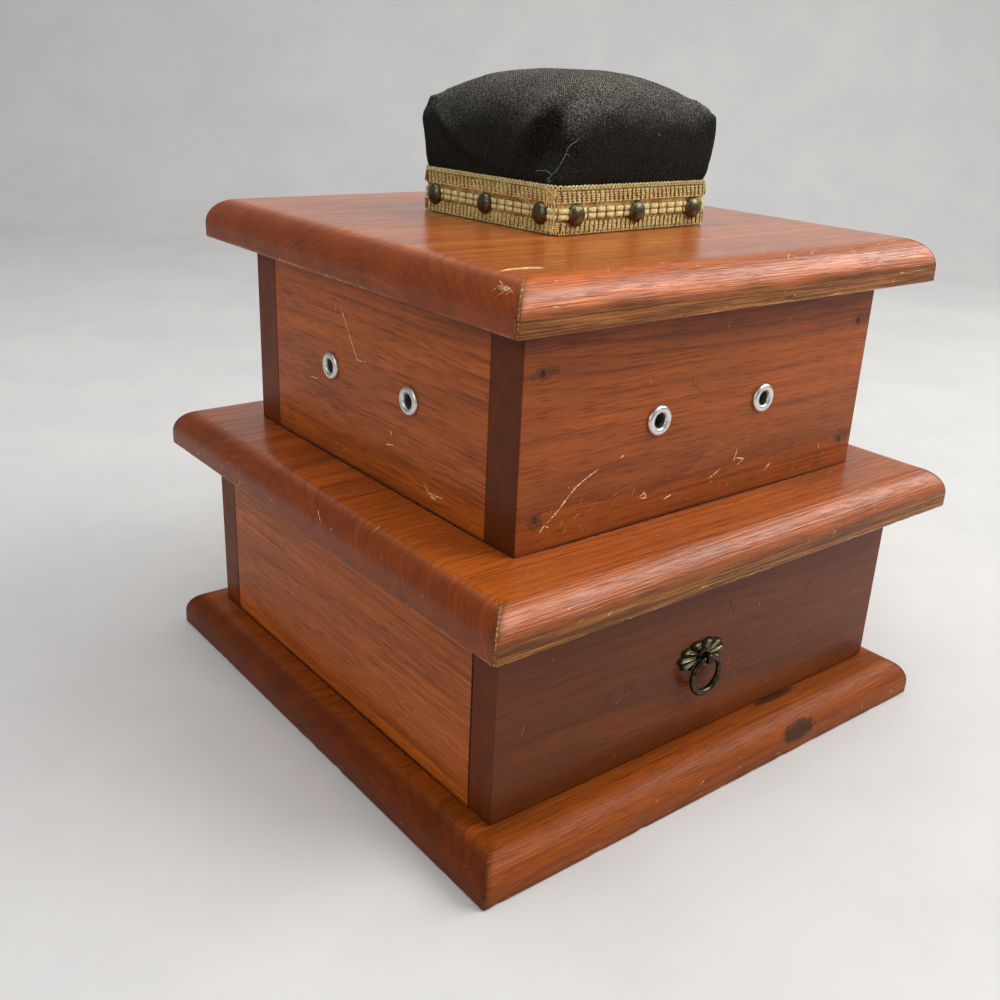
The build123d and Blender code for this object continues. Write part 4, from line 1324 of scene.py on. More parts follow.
@dataclass
class Cushion:
    """The pincushion: a padded black cloth top, a gilt braid and its tacks."""

    off_middle: Pair = (2.3, 1.2)
    turn: float = 2.0
    foot: float = 236.5
    block_height: float = 19.0
    block_side: float = 89.0
    shoulder_side: float = 98.5
    shoulder_height: float = 28.5
    top_height: float = 65.5
    corner: float = 9.0
    braid_thickness: float = 1.8
    braid_stand_off: float = 1.5
    tack_height: float = 8.4
    tack_radius: float = 4.7
    tack_dome: float = 3.0
    tack_spacing: float = 37.0
    tack_length: float = 7.0

    def frame_place(self) -> Matrix:
        """Returns the cushion's own place on the lid."""
        x, y = self.off_middle
        turn = Matrix.Rotation(math.radians(self.turn), 4, "Z")
        return Matrix.Translation(Vector((x, y, self.foot)) * MM) @ turn

    # -- padded cloth --
    def pad_profile(self, step: float, cornered: float) -> Pair:
        """Returns the pad's (reach, height) at a step from its foot to its crown's middle.

        Args:
            step: 0 at the foot, 1 at the middle of the crown.
            cornered: 1 on a corner, where the cloth stands out as an ear, 0 on a side.

        Returns:
            The reach as a share of the shoulder's half side, and the height over the foot.
        """
        tall = self.top_height - self.block_height - 0.6
        if step < 0.3:
            share = step / 0.3
            side = (0.955 + 0.035 * share**0.7, 14.0 * share)
            ear = (0.965 + 0.035 * share**0.9, (self.shoulder_height - 3.0) * share)
        else:
            share = (step - 0.3) / 0.7
            angle = math.radians(90 * share)
            side = (0.99 * math.cos(angle) ** 0.6, 14.0 + (tall - 14.0) * math.sin(angle) ** 0.86)
            if share < 0.25:
                bend = math.radians(90 - 74 * share / 0.25)
                ear = (0.885 + 0.115 * math.sin(bend), self.shoulder_height - 3.0 + 9.0 * math.cos(bend))
            else:
                reach = 0.9167 * (1 - (share - 0.25) / 0.75)
                low = self.shoulder_height + 5.65
                ear = (reach, low + (tall - low) * (1 - (reach / 0.9167) ** 1.9))
        return tuple(a + (b - a) * cornered for a, b in zip(side, ear))

    def pad(self) -> Piece:
        """Builds the pad's closed form before it is filled: a pillow with four ears, one slack."""
        place = self.frame_place()
        outline = square_outline(1.0, 0.05, 30, bends=6)
        half = self.shoulder_side / 2
        rings = []
        for level in range(45):
            ring = []
            for x, y in outline:
                cornered = (min(abs(x), abs(y)) / max(abs(x), abs(y))) ** 5
                slack = cornered**0.5 if x < 0 and y < 0 else 0.0
                reach, height = self.pad_profile(level / 45, cornered * (1 - 0.85 * slack))
                reach *= 1 - 0.1 * slack * min(1.0, height / 10.0)
                point = Vector((x * reach * half, y * reach * half, self.block_height + 0.4 + height))
                ring.append(place @ (point * MM))
            rings.append(ring)
        return add_object("black_wool_pad", skin("black_wool_pad", rings))

    def fill(self, pad: Piece) -> None:
        """Swells the pad by cloth simulation, with its foot held and its travel capped."""
        remesh = pad.modifiers.new("Even", "REMESH")
        remesh.mode = "VOXEL"
        remesh.voxel_size = 3.2 * MM
        pad.data = evaluated(pad)
        start = [v.co.copy() for v in pad.data.vertices]
        inverse = self.frame_place().inverted()
        held = pad.vertex_groups.new(name="held")
        for vertex, point in zip(pad.data.vertices, start):
            local = inverse @ point
            if local.z < (self.block_height + 1.6) * MM:
                held.add([vertex.index], 1.0, "REPLACE")
        cloth = pad.modifiers.new("Fill", "CLOTH").settings
        cloth.quality = 6
        cloth.mass = 0.3
        cloth.tension_stiffness = 12
        cloth.bending_stiffness = 0.6
        cloth.use_pressure = True
        cloth.uniform_pressure_force = 4.0
        cloth.effector_weights.gravity = 0.0
        cloth.vertex_group_mass = "held"
        scene = bpy.context.scene
        for number in range(1, 21):
            scene.frame_set(number)
        swollen = evaluated(pad)
        pad.vertex_groups.clear()
        cap = 5.0 * MM
        for vertex, old, new in zip(pad.data.vertices, start, swollen.vertices):
            step = new.co - old
            if step.length > cap:
                step = step.normalized() * cap
            vertex.co = old + step
        scene.frame_set(1)
        subdivision = pad.modifiers.new("Fine", "SUBSURF")
        subdivision.levels = 1
        subdivision.render_levels = 1
        pad.data = evaluated(pad)

    def fold(self, pad: Piece) -> None:
        """Adds the slack corner, the creases and small unevenness, and keeps within the form."""
        place, inverse = self.frame_place(), self.frame_place().inverted()
        low, high = self.block_height + 0.35, self.top_height
        limit = self.shoulder_side / 2 + 0.8
        for vertex in pad.data.vertices:
            p = (inverse @ vertex.co) / MM
            rise = (p.z - low) / (high - low)
            loose = min(1.0, max(0.0, rise * 5))
            inward = Vector((-p.x, -p.y, 0)).normalized()
            off = p.x - p.y + 1.0 - 40.0 * (rise - 0.55)
            near = math.exp(-(((p.x + 40) ** 2 + (p.y + 38) ** 2) / 520.0)) * loose
            near *= min(1.0, max(0.0, (rise - 0.06) / 0.26))
            p += inward * (5.4 * math.exp(-((off / (8.5 if off < 0 else 17.0)) ** 2)) * near)
            p += inward * (-2.4 * math.exp(-(((off + 18.0) / 6.5) ** 2)) * near)
            p += inward * (2.2 * self.left_crease(p) * loose)
            soft = noise.noise(Vector((p.x, p.y, p.z)) * 0.045) * 0.7 + noise.noise(p * 0.11) * 0.35
            p += Vector((p.x, p.y, (p.z - low) * 0.8)).normalized() * soft * loose
            along = p.y if abs(p.x) > abs(p.y) else p.x
            draw = 0.5 * (1 + math.cos(2 * math.pi * along / self.tack_spacing))
            p += inward * (0.6 * draw * math.exp(-((rise / 0.16) ** 2)) * loose)
            p.x = max(-limit, min(limit, p.x))
            p.y = max(-limit, min(limit, p.y))
            p.z = max(low, min(high, p.z))
            vertex.co = place @ (p * MM)

    def left_crease(self, p: Vector) -> float:
        """Returns how deep the crease is that runs down the left side from its far ear."""
        if p.x > -34:
            return 0.0
        start, end = Vector((42.0, self.block_height + 25.0)), Vector((-6.0, self.block_height + 2.0))
        spot, run = Vector((p.y, p.z)), end - start
        share = max(0.0, min(1.0, (spot - start).dot(run) / run.length_squared))
        apart = spot - (start + run * share)
        bow = 3.0 * math.sin(math.pi * share)
        normal = Vector((run.y, -run.x)).normalized()
        distance = apart.dot(normal) + bow
        along = math.sin(math.pi * min(1.0, share + 0.01)) ** 0.8
        groove = math.exp(-((distance / 1.7) ** 2))
        lip = -0.9 * math.exp(-(((distance - 4.0) / 2.6) ** 2))
        return (groove + lip) * max(0.0, along)

    def map_cloth(self, pad: Piece) -> None:
        """Lays the cloth's own map over the crown and down the sides."""
        inverse = self.frame_place().inverted()
        layer = pad.data.uv_layers.new(name="cloth")
        top = self.top_height * MM
        for loop in pad.data.loops:
            p = inverse @ pad.data.vertices[loop.vertex_index].co
            reach = max(abs(p.x), abs(p.y), 1e-5)
            run = (reach + (top - p.z)) / reach
            layer.data[loop.index].uv = (p.x * run, p.y * run)

    # -- braid --
    def braid_line(self, out: float, height: float) -> Mesh:
        """Returns a closed line round the block, that far out of it and up."""
        half = self.block_side / 2 + self.braid_stand_off + out
        place = self.frame_place()
        outline = square_outline(half, 2.5 + out, 60, bends=6)
        points = [place @ (Vector((x, y, height)) * MM) for x, y in outline]
        return line_mesh("braid_line", [points], closed=True)

    def braid_band(self) -> Mesh:
        """Builds the woven band behind the braid's raised threads."""
        place = self.frame_place()
        profile = [(-1.35, 1.3), (0.45, 1.2), (0.7, 1.8), (0.8, 3.2), (0.7, 5.2), (0.4, 6.0), (0.45, 9.1)]
        profile += [(0.4, 12.2), (0.7, 13.0), (0.8, 15.9), (0.65, 18.2), (0.4, 18.8), (-1.35, 18.7)]
        rings = []
        for out, height in profile:
            outline = square_outline(self.block_side / 2 + self.braid_stand_off + out, 2.5 + out, 74, bends=6)
            ring = []
            for x, y in outline:
                sag = 0.1 * noise.noise(Vector((x * 0.15, y * 0.15, 3.0)))
                ring.append(place @ (Vector((x, y, height + sag)) * MM))
            rings.append(ring)
        return smooth(skin("braid_band", rings + [rings[0]], closed_ends=False), 60)

    def picot(self) -> Mesh:
        """Builds one picot loop, standing up and facing outwards."""
        path = []
        for i in range(9):
            angle = math.radians(-60 + 300 * i / 8)
            path.append(Vector((0.8 * math.cos(angle), 0, 0.8 * math.sin(angle))) * MM)
        return tube("picot", path, lambda s: 0.36 * MM, 6)

    def build_braid(
        self, tree: Tree, bright: Material, woven: Material, dark: Material, ground: Material
    ) -> None:
        """Builds the braid: band, blocks, ties, stitches and picots."""
        band = add_object("braid_band", self.braid_band())
        finish_piece(band, "lid", ["cushion_braid"], ground)
        block = rounded_block("block", (4.75, 1.1, 2.2), 0.5)
        tie = moved(rounded_block("tie", (0.5, 0.8, 4.9), 0.2), Matrix.Translation((1.39 * MM, 0, 0)))
        stitch = rounded_block("stitch", (2.5, 0.8, 0.8), 0.26)
        rows = [
            ("braid_blocks_lower", block, 1.1, 7.75, 5.55, 0.02, 0.015, 0.0, bright),
            ("braid_blocks_upper", block, 1.1, 10.2, 5.55, 0.02, 0.015, 0.0, bright),
            ("braid_ties_lower", tie, 1.25, 3.6, 2.775, 0.05, 0.1, 0.08, dark),
            ("braid_ties_upper", tie, 1.25, 15.7, 2.775, 0.05, 0.15, -0.25, dark),
            ("braid_picots_lower", self.picot(), 1.0, 1.2, 2.25, 0.06, 0.08, 0.0, bright),
            ("braid_picots_upper", self.picot(), 1.15, 19.5, 2.25, 0.06, 0.08, 0.0, bright),
        ]
        for edge, heights in (("lower", (2.3, 3.2, 4.1, 5.0)), ("upper", (13.6, 14.6, 15.6, 16.6, 17.6))):
            for number, height in enumerate(heights, 1):
                lean = -0.08 if number % 2 else 0.08
                name = f"braid_weave_{edge}_{number}"
                rows.append((name, stitch, 1.0, height, 2.775, 0.05, 0.08, lean, woven))
        for seed, (name, mesh, out, height, spacing, unevenness, sway, lean, finish) in enumerate(rows, 3):
            piece = repeated(
                name, mesh, self.braid_line(out, height), tree, finish, Spacing=spacing * MM,
                Unevenness=unevenness, Sway=sway, Lean=lean, Seed=seed,
            )
            finish_piece(piece, "lid", ["cushion_braid"])
        self.build_overlap(woven)

    def build_overlap(self, woven: Material) -> None:
        """Builds the cords where the braid's ends overlap, beside the near corner."""
        out = self.block_side / 2 + self.braid_stand_off + 1.25
        cords = []
        for number, back in enumerate((2.2, 3.7, 5.4, 7.0, 8.4)):
            path = []
            for step in range(11):
                sway = 0.25 * math.sin(step * 1.9 + number)
                spot = Vector((-out, -out + back + sway, 1.3 + 1.76 * step))
                path.append(self.frame_place() @ (spot * MM))
            cords.append(tube("cord", path, lambda s: 0.42 * MM, 8))
        piece = add_object("braid_overlap", smooth(join_meshes("braid_overlap", cords), 60))
        finish_piece(piece, "lid", ["cushion_braid"], woven)

    # -- tacks --
    def tack_places(self) -> list[Matrix]:
        """Returns the tacks' places, on the braid's middle."""
        places = []
        out = self.block_side / 2 + self.braid_thickness + self.braid_stand_off - 0.4
        for quarter in range(4):
            spin = Matrix.Rotation(math.radians(90 * quarter), 4, "Z")
            for number in (-1, 0, 1):
                spot = place_at((number * self.tack_spacing, -out, self.tack_height), (0, -1, 0))
                places.append(self.frame_place() @ spin @ spot)
        return places

    def tack(self) -> Mesh:
        """Builds a domed tack, its head's underside at z 0."""
        r, dome, tip = self.tack_radius, self.tack_dome, -self.tack_length
        profile = [(0.0, tip), (0.8, tip + 1.5), (0.8, -0.05), (r - 0.5, 0.0), (r, 0.12)]
        for step in range(9):
            angle = math.radians(90 * step / 9)
            profile.append((r * math.cos(angle) * 0.995, 0.25 + (dome - 0.25) * math.sin(angle)))
        return lathe("tack", profile + [(0.0, dome)], 36)

    def build_tacks(self, tree: Tree, finish: Material) -> None:
        """Sets the tacks."""
        name = "cushion_dome_tacks"
        points = places_mesh(name, self.tack_places())
        piece = repeated(name, self.tack(), points, tree, finish, Unevenness=0.03, Seed=4)
        finish_piece(piece, "lid", ["cushion_tacks"])

    def build_pad(self, finish: Material) -> None:
        """Builds, fills, folds and dresses the pad."""
        pad = self.pad()
        self.fill(pad)
        self.fold(pad)
        self.map_cloth(pad)
        smooth(pad.data, 80)
        finish_piece(pad, "lid", ["cushion_pad"], finish)


@dataclass
class Scratches:
    """Scratches and nicks on one piece, each a line laid on its surface, in millimetres."""

    name: str
    surface: str
    body: str
    slot: str
    lines: Sequence[Line]
    width: float = 0.5
    sink: float = 0.6
    thinnest: float = 0.12
    wander: float = 0.15
    seed: int = 1

    def laid(self) -> tuple[list[list[Vector]], list[Vector]]:
        """Lays every line on the surface, and returns its points and their facings."""
        surface = bpy.data.objects[self.surface]
        jitter = random.Random(self.seed)
        lines: list[list[Vector]] = []
        facings: list[Vector] = []
        for line in self.lines:
            path: list[Vector] = []
            for a, b in zip(line, line[1:]):
                steps = max(1, round((Vector(b) - Vector(a)).length / 2.0))
                for i in range(steps + (b is line[-1])):
                    shift = Vector([jitter.uniform(-self.wander, self.wander) for _ in range(3)])
                    aim = (Vector(a).lerp(Vector(b), min(1.0, i / steps)) + shift) * MM
                    _, spot, facing, _ = surface.closest_point_on_mesh(aim)
                    path.append(spot)
                    facings.append(facing)
            lines.append(path)
        return lines, facings

    def build(self, tree: Tree, finish: Material) -> Piece:
        """Builds the scratches as thin uneven strips let into the surface."""
        lines, facings = self.laid()
        mesh = line_mesh(self.name, lines)
        kept = mesh.attributes.new("facing", "FLOAT_VECTOR", "POINT")
        for item, facing in zip(kept.data, facings):
            item.vector = facing
        piece = grow(
            self.name, mesh, tree, Finish=finish, Width=self.width * MM, Sink=self.sink,
            Thinnest=self.thinnest, Seed=self.seed,
        )
        return finish_piece(piece, self.body)


def nicks(low: Point, high: Point, count: int, longest: float, heading: float, seed: int) -> list[Line]:
    """Short random lines in a box, seen from its thinnest side, most along one heading.

    Args:
        low: The box's lowest corner, in millimetres.
        high: Its highest corner.
        count: Number of lines.
        longest: Length of the longest line.
        heading: Usual slope of the lines in degrees above the level.
        seed: Seed of the random places.

    Returns:
        The lines, each of two points.
    """
    rng = random.Random(seed)
    thin = min(range(3), key=lambda axis: high[axis] - low[axis])
    level, upright = [axis for axis in range(3) if axis != thin]
    lines = []
    for _ in range(count):
        start = [rng.uniform(a, b) for a, b in zip(low, high)]
        length = longest * rng.uniform(0.12, 1.0) ** 1.6
        slope = math.radians(heading + rng.gauss(0, 28))
        end = list(start)
        end[level] += length * math.cos(slope)
        end[upright] += length * math.sin(slope)
        lines.append((tuple(start), tuple(end)))
    return lines


@dataclass
class Wear:
    """The box's scratches, nicks and lint, surface by surface."""

    tree: Tree

    def build(self) -> None:
        """Builds every group of scratches."""
        bare = Matte("bare_scratch", (0.92, 0.66, 0.36), (0.62, 0.34, 0.13), 1300.0, 0.6).material()
        faint = Matte("faint_scratch", (0.70, 0.34, 0.13), (0.46, 0.17, 0.055), 1500.0, 0.55).material()
        dark = Matte("dark_scratch", (0.05, 0.035, 0.015), (0.02, 0.012, 0.008), 1500.0, 0.5).material()
        grime_and_shade = Matte("joint_grime", (0.075, 0.020, 0.006), (0.014, 0.006, 0.003), 500.0, 0.6).material()
        self.joints(grime_and_shade)
        self.upper_box(bare, faint, dark)
        self.slabs(bare, faint)
        self.lower_box(bare, faint, dark)
        self.cushion()

    def lay(
        self, name: str, surface: str, lines: Sequence[Line], width: float, seed: int, finish: Material,
        **more: float,
    ) -> None:
        """Lays a group of scratches, of a width in millimetres, on a piece."""
        body, slot = {
            "lid_slab": ("lid", "lid_wood"), "drawer_front_board": ("drawer", "drawer_face_wood"),
            "black_wool_pad": ("lid", "pad_cloth"),
        }.get(surface, ("case", "case_wood"))
        Scratches(name, surface, body, slot, lines, width, seed=seed, **more).build(self.tree, finish)

    def joints(self, grime_and_shade: Material) -> None:
        """Lays the dark lines of glue and dirt where the boxes meet the slabs, and a painted shadow in the
        drawer's gap.
        """
        for name, surface, x, y, z in (
            ("upper_foot_line", "middle_slab", 105.8, 105.8, 126.5),
            ("lower_foot_line", "base_slab", 124.3, 106.3, 19.0),
        ):
            lines = [[(-x, -y, z), (-x, x, z)], [(x, -y, z), (x, x, z)], [(-x, x, z), (x, x, z)]]
            if surface == "middle_slab":
                lines.append([(-x, -y, z), (x, -y, z)])
            self.lay(name, surface, lines, 0.95, 50, grime_and_shade, sink=0.1, thinnest=0.4, wander=0.18)
        # Painted shadow: a dark line down the side board's front edge stands for the shadow in the drawer's
        # gap.
        gap = [[(-124.0, -106.3, 19.6), (-124.0, -106.3, 107.0)]]
        thin = dict(sink=0.3, thinnest=0.7, wander=0.05)
        self.lay("drawer_gap_line", "lower_side_left_board", gap, 0.9, 51, grime_and_shade, **thin)

    def upper_box(self, bare: Material, faint: Material, dark: Material) -> None:
        """Scratches the upper box's front and left."""
        y = -105.5
        long_curve = [(-63.8, y, 155.5), (-68.5, y, 153.6), (-75.5, y, 150.0), (-80.5, y, 145.6)]
        long_curve += [(-85.0, y, 141.2), (-91.0, y, 137.0)]
        strokes: list[Line] = [
            long_curve, [(-91.0, y, 137.0), (-93.5, y, 134.4)], [(-91.0, y, 137.0), (-88.8, y, 135.8)],
            [(-53.0, y, 158.0), (-50.2, y, 158.6)], [(18.5, y, 143.0), (20.0, y, 149.0)],
            [(20.0, y, 144.6), (25.5, y, 143.0)], [(21.5, y, 140.8), (25.6, y, 143.5)],
            [(3.0, y, 138.0), (7.0, y, 139.8), (10.0, y, 141.3)], [(41.0, y, 134.3), (45.4, y, 138.0)],
            [(79.8, y, 141.1), (81.3, y, 137.4)],
            [(-39.7, y, 137.9), (-36.4, y, 139.9), (-35.6, y, 136.9), (-39.0, y, 137.6)],
            [(-24.8, y, 133.7), (-19.8, y, 135.4)], [(-24.0, y, 134.4), (-20.4, y, 135.0)],
        ]
        surface = "upper_front_board"
        self.lay("upper_front_scratches", surface, strokes, 0.95, 3, bare, sink=0.4)
        small = nicks((-88, y, 128), (88, y, 143), 30, 5.0, 48, 11)
        small += nicks((-90, y, 145), (95, y, 205), 12, 4.0, 60, 12)
        small += [((24.6, y, 158.0), (27.0, y, 149.5)), ((-69.9, y, 136.0), (-63.3, y, 142.4))]
        self.lay("upper_front_nicks", surface, small, 0.5, 4, faint)
        mark = [[(-14.9, y, 185.9), (-13.3, y, 183.1), (-9.6, y, 180.5), (-5.9, y, 177.7)]]
        self.lay("upper_front_dark_mark", surface, mark, 0.5, 5, dark)
        x = -105.5
        strokes = [
            [(x, -44.2, 137.5), (x, -46.1, 135.1), (x, -51.1, 132.4)],
            [(x, -48.0, 134.6), (x, -51.9, 134.6), (x, -58.0, 135.0)],
            [(x, -49.5, 133.6), (x, -53.5, 132.8)], [(x, -17.7, 153.8), (x, -18.4, 151.2)],
            [(x, -14.2, 146.1), (x, -20.1, 147.3)],
            [(x, 24.3, 200.2), (x, 17.0, 189.5), (x, 9.9, 178.4), (x, 1.5, 179.4)],
            [(x, 53.7, 160.5), (x, 45.8, 161.4)],
        ]
        surface = "upper_side_left_board"
        self.lay("upper_left_scratches", surface, strokes, 0.85, 6, bare, sink=0.4)
        small = nicks((x, -92, 128), (x, 70, 158), 22, 4.5, 110, 13)
        small += nicks((x, 12, 178), (x, 36, 204), 16, 5.0, 100, 14)
        self.lay("upper_left_nicks", surface, small, 0.5, 7, faint)

    def slabs(self, bare: Material, faint: Material) -> None:
        """Nicks the three slabs' rounded edges and tops."""
        strokes: list[Line] = [
            [(-119.3, -110.3, 233.6), (-120.6, -117.1, 232.1)],
            [(-121.5, -106.5, 231.0), (-119.5, -108.0, 233.2), (-119.9, -112.0, 232.8)],
            [(-121.9, -110.0, 230.0), (-119.8, -113.5, 233.0)],
            [(-121.6, -113.0, 230.6), (-119.6, -116.0, 232.6)],
            [(-118.5, -106.0, 234.3), (-119.5, -110.0, 233.4)],
            [(20.0, -119.0, 234.6), (23.0, -116.5, 235.7), (28.0, -119.5, 234.2)],
            [(63.0, -120.0, 233.6), (63.5, -115.5, 235.9)],
            [(65.5, -120.0, 233.6), (65.0, -115.5, 235.9)],
        ]
        gouge = [(-114.4, -101.1, 236.1), (-107.5, -100.6, 236.5), (-101.2, -101.3, 236.5)]
        gouge += [(-96.2, -103.5, 236.5)]
        self.lay("lid_gouge", "lid_slab", [gouge], 1.5, 2, bare, sink=0.4, thinnest=0.5)
        strokes += nicks((-115, -124, 219), (118, -123, 231), 26, 3.0, 30, 21)
        strokes += nicks((-112, -119, 235), (118, -112, 236.5), 34, 3.4, 12, 20)
        self.lay("lid_scratches", "lid_slab", strokes, 0.55, 8, bare)
        small = nicks((-105, -112, 236.5), (112, -60, 236.5), 26, 9.0, 35, 22)
        small += nicks((-124, -115, 219), (-123, 110, 232), 16, 3.0, 60, 23)
        self.lay("lid_nicks", "lid_slab", small, 0.3, 9, faint)
        strokes = [
            [(-138.7, -12.4, 121.7), (-140.7, -18.1, 118.0)],
            [(-137.0, -51.4, 123.4), (-134.0, -51.3, 125.6), (-130.9, -50.8, 126.3)],
        ]
        strokes += nicks((-141, -132, 109), (-140, 120, 123), 20, 3.0, 95, 24)
        strokes += nicks((-132, -141.5, 109), (134, -140, 122), 30, 3.2, 25, 25)
        self.lay("middle_slab_scratches", "middle_slab", strokes, 0.5, 10, bare)
        small = nicks((60, -128, 126.5), (128, -20, 126.5), 26, 8.0, 60, 26)
        small += nicks((-128, -128, 126.5), (60, -108, 126.5), 14, 5.0, 30, 27)
        self.lay("middle_slab_nicks", "middle_slab", small, 0.3, 11, faint)
        strokes = nicks((-141.5, -130, 2), (-140, 130, 14), 12, 2.6, 70, 28)
        strokes += nicks((-130, -141.5, 2), (134, -140, 14), 16, 3.4, 20, 29)
        strokes.append([(100.7, -141.1, 9.2), (101.5, -141.4, 5.5), (102.2, -141.4, 2.6)])
        self.lay("base_slab_scratches", "base_slab", strokes, 0.45, 12, bare)

    def lower_box(self, bare: Material, faint: Material, dark: Material) -> None:
        """Scratches the lower box's left side and the drawer's front."""
        x, y = -124.0, -121.5
        strokes: list[Line] = [
            [(x, -0.3, 84.2), (x, -1.4, 79.5), (x, -2.2, 75.1)],
            [(x, 34.7, 38.1), (x, 27.0, 37.4), (x, 20.0, 37.4)], [(x, 9.1, 40.5), (x, 1.1, 37.7)],
        ]
        strokes += nicks((x, -100, 24), (x, 100, 86), 26, 5.0, 115, 31)
        self.lay("lower_left_scratches", "lower_side_left_board", strokes, 0.32, 13, faint)
        spots = nicks((x, -100, 24), (x, 100, 88), 9, 1.6, 90, 32)
        self.lay("lower_left_specks", "lower_side_left_board", spots, 0.5, 14, bare)
        scribble = []
        for left, top in ((-65.5, 62.5), (-53.5, 63.0)):
            for step in range(5):
                start = (left + step * 1.3, y, top - 2.0 * (step % 2))
                scribble.append([start, (left + step * 1.3 - 0.6, y, top - 8.0 + step % 3)])
        self.lay("drawer_scribbles", "drawer_front_board", scribble, 0.5, 15, dark)
        crack: list[Line] = [
            [(7.6, y, 85.0), (10.5, y, 80.2), (13.6, y, 74.7)],
            [(68.7, y, 79.3), (66.5, y, 75.6), (65.0, y, 72.2)], [(70.6, y, 50.4), (71.4, y, 50.0)],
        ]
        self.lay("drawer_dark_marks", "drawer_front_board", crack, 0.7, 16, dark)
        small = nicks((-112, y, 24), (118, y, 104), 30, 6.0, 70, 33)
        self.lay("drawer_face_nicks", "drawer_front_board", small, 0.28, 17, faint)

    def cushion(self) -> None:
        """Lays lint on the pincushion."""
        lint = Matte("pale_lint", (0.62, 0.60, 0.55), (0.42, 0.40, 0.36), 2000.0, 0.9).material()
        strokes: list[Line] = [
            [(-47.5, -38.5, 257.5), (-46.5, -42.0, 262.0), (-44.0, -45.0, 268.0)],
            [(-46.5, -42.0, 262.0), (-47.5, -38.0, 264.5), (-48.0, -32.0, 262.0)],
            [(-44.0, -45.0, 268.0), (-41.0, -46.5, 271.0), (-37.5, -47.5, 269.5)],
            [(-47.6, -39.0, 256.5), (-47.4, -40.5, 258.8), (-47.0, -41.5, 257.0)],
            [(-41.0, -46.5, 271.0), (-36.0, -48.0, 274.5), (-32.5, -48.0, 277.0)],
        ]
        raised = dict(sink=-1.0, thinnest=0.4, wander=0.5)
        self.lay("cushion_lint", "black_wool_pad", strokes, 0.15, 18, lint, **raised)
        rng = random.Random(40)
        specks = []
        for _ in range(26):
            spot = Vector((rng.uniform(-44, 44), rng.uniform(-48, 40), rng.uniform(258, 300)))
            reach = Vector([rng.uniform(-1, 1) for _ in range(3)])
            specks.append([tuple(spot), tuple(spot + reach)])
        self.lay("cushion_specks", "black_wool_pad", specks, 0.3, 19, lint, sink=-0.4, thinnest=0.6)


@dataclass
class Studio:
    """The pale floor and backdrop, the soft lights and the camera."""

    lens: float = 39.12
    camera_place: Point = (-347.71, -397.20, 302.16)
    azimuth: float = -38.766
    elevation: float = 21.784
    roll: float = 2.557

    def build(self) -> None:
        """Builds the studio."""
        self.build_sweep()
        self.build_lights()
        self.build_camera()

    def build_sweep(self) -> None:
        """Builds the floor with its curved rise behind the object."""
        near, bend, radius, top, half = -4.0, 1.35, 0.5, 3.0, 5.0
        profile = [(near, 0.0), (bend, 0.0)]
        profile += [
            (bend + radius * math.sin(a), radius * (1 - math.cos(a)))
            for a in (math.radians(90 * i / 16) for i in range(1, 17))
        ]
        profile.append((bend + radius, top))
        turn = Matrix.Rotation(math.radians(self.azimuth), 4, "Z")
        points, faces = [], []
        for y, z in profile:
            for x in (-half, half):
                points.append(turn @ Vector((x, y, z)))
        for i in range(len(profile) - 1):
            faces.append((2 * i, 2 * i + 1, 2 * i + 3, 2 * i + 2))
        sweep = add_object("floor_sweep", smooth(mesh_of("floor_sweep", points, faces), 60))
        cloth = Matte("pale_cloth", (0.66, 0.655, 0.645), (0.625, 0.62, 0.615), 7.0, 0.85, 0.0003)
        sweep.data.materials.append(cloth.material())

    def area(self, name: str, place: Point, aim: Point, size: float, power: float, colour: Colour) -> None:
        """Adds a square soft light at a place, in metres, that points at aim."""
        lamp = bpy.data.lights.new(name, "AREA")
        lamp.shape = "SQUARE"
        lamp.size = size
        lamp.energy = power
        lamp.color = colour
        holder = bpy.data.objects.new(name, lamp)
        holder.location = place
        holder.rotation_euler = (Vector(aim) - Vector(place)).to_track_quat("-Z", "Y").to_euler()
        bpy.context.scene.collection.objects.link(holder)

    def build_lights(self) -> None:
        """Adds soft light from above, in front and beside."""
        self.area("window_right", (0.95, -1.05, 1.38), (0.0, 0.0, 0.15), 1.1, 23.0, (1.0, 0.985, 0.96))
        self.area("window_far_right", (1.5, -0.5, 1.0), (0.0, -0.1, 0.15), 0.7, 7.0, (1.0, 0.985, 0.96))
        self.area("window_left", (-1.5, -0.5, 1.0), (0.0, 0.0, 0.12), 1.0, 6.0, (0.97, 0.985, 1.0))
        self.area("overhead", (-0.1, 0.1, 1.9), (0.0, 0.0, 0.1), 1.5, 18.0, (1.0, 0.99, 0.975))
        world = bpy.data.worlds.new("soft_room")
        world.use_nodes = True
        world.node_tree.nodes["Background"].inputs["Color"].default_value = (0.97, 0.98, 1.0, 1.0)
        world.node_tree.nodes["Background"].inputs["Strength"].default_value = 0.3
        bpy.context.scene.world = world

    def build_camera(self) -> None:
        """Adds the camera at the photograph's viewing angle."""
        az, el, roll = (math.radians(v) for v in (self.azimuth, self.elevation, self.roll))
        ahead = Vector((-math.sin(az) * math.cos(el), math.cos(az) * math.cos(el), -math.sin(el)))
        right = Vector((math.cos(az), math.sin(az), 0.0))
        up = right.cross(ahead)
        right, up = (
            math.cos(roll) * right + math.sin(roll) * up, -math.sin(roll) * right + math.cos(roll) * up,
        )
        lens = bpy.data.cameras.new("camera")
        lens.lens = self.lens
        lens.sensor_width = 36.0
        lens.clip_start = 0.01
        holder = bpy.data.objects.new("camera", lens)
        turn = Matrix((right, up, -ahead)).transposed().to_4x4()
        holder.matrix_world = Matrix.Translation(Vector(self.camera_place) * MM) @ turn
        bpy.context.scene.collection.objects.link(holder)
        bpy.context.scene.camera = holder
        bpy.context.scene.view_settings.view_transform = "Standard"


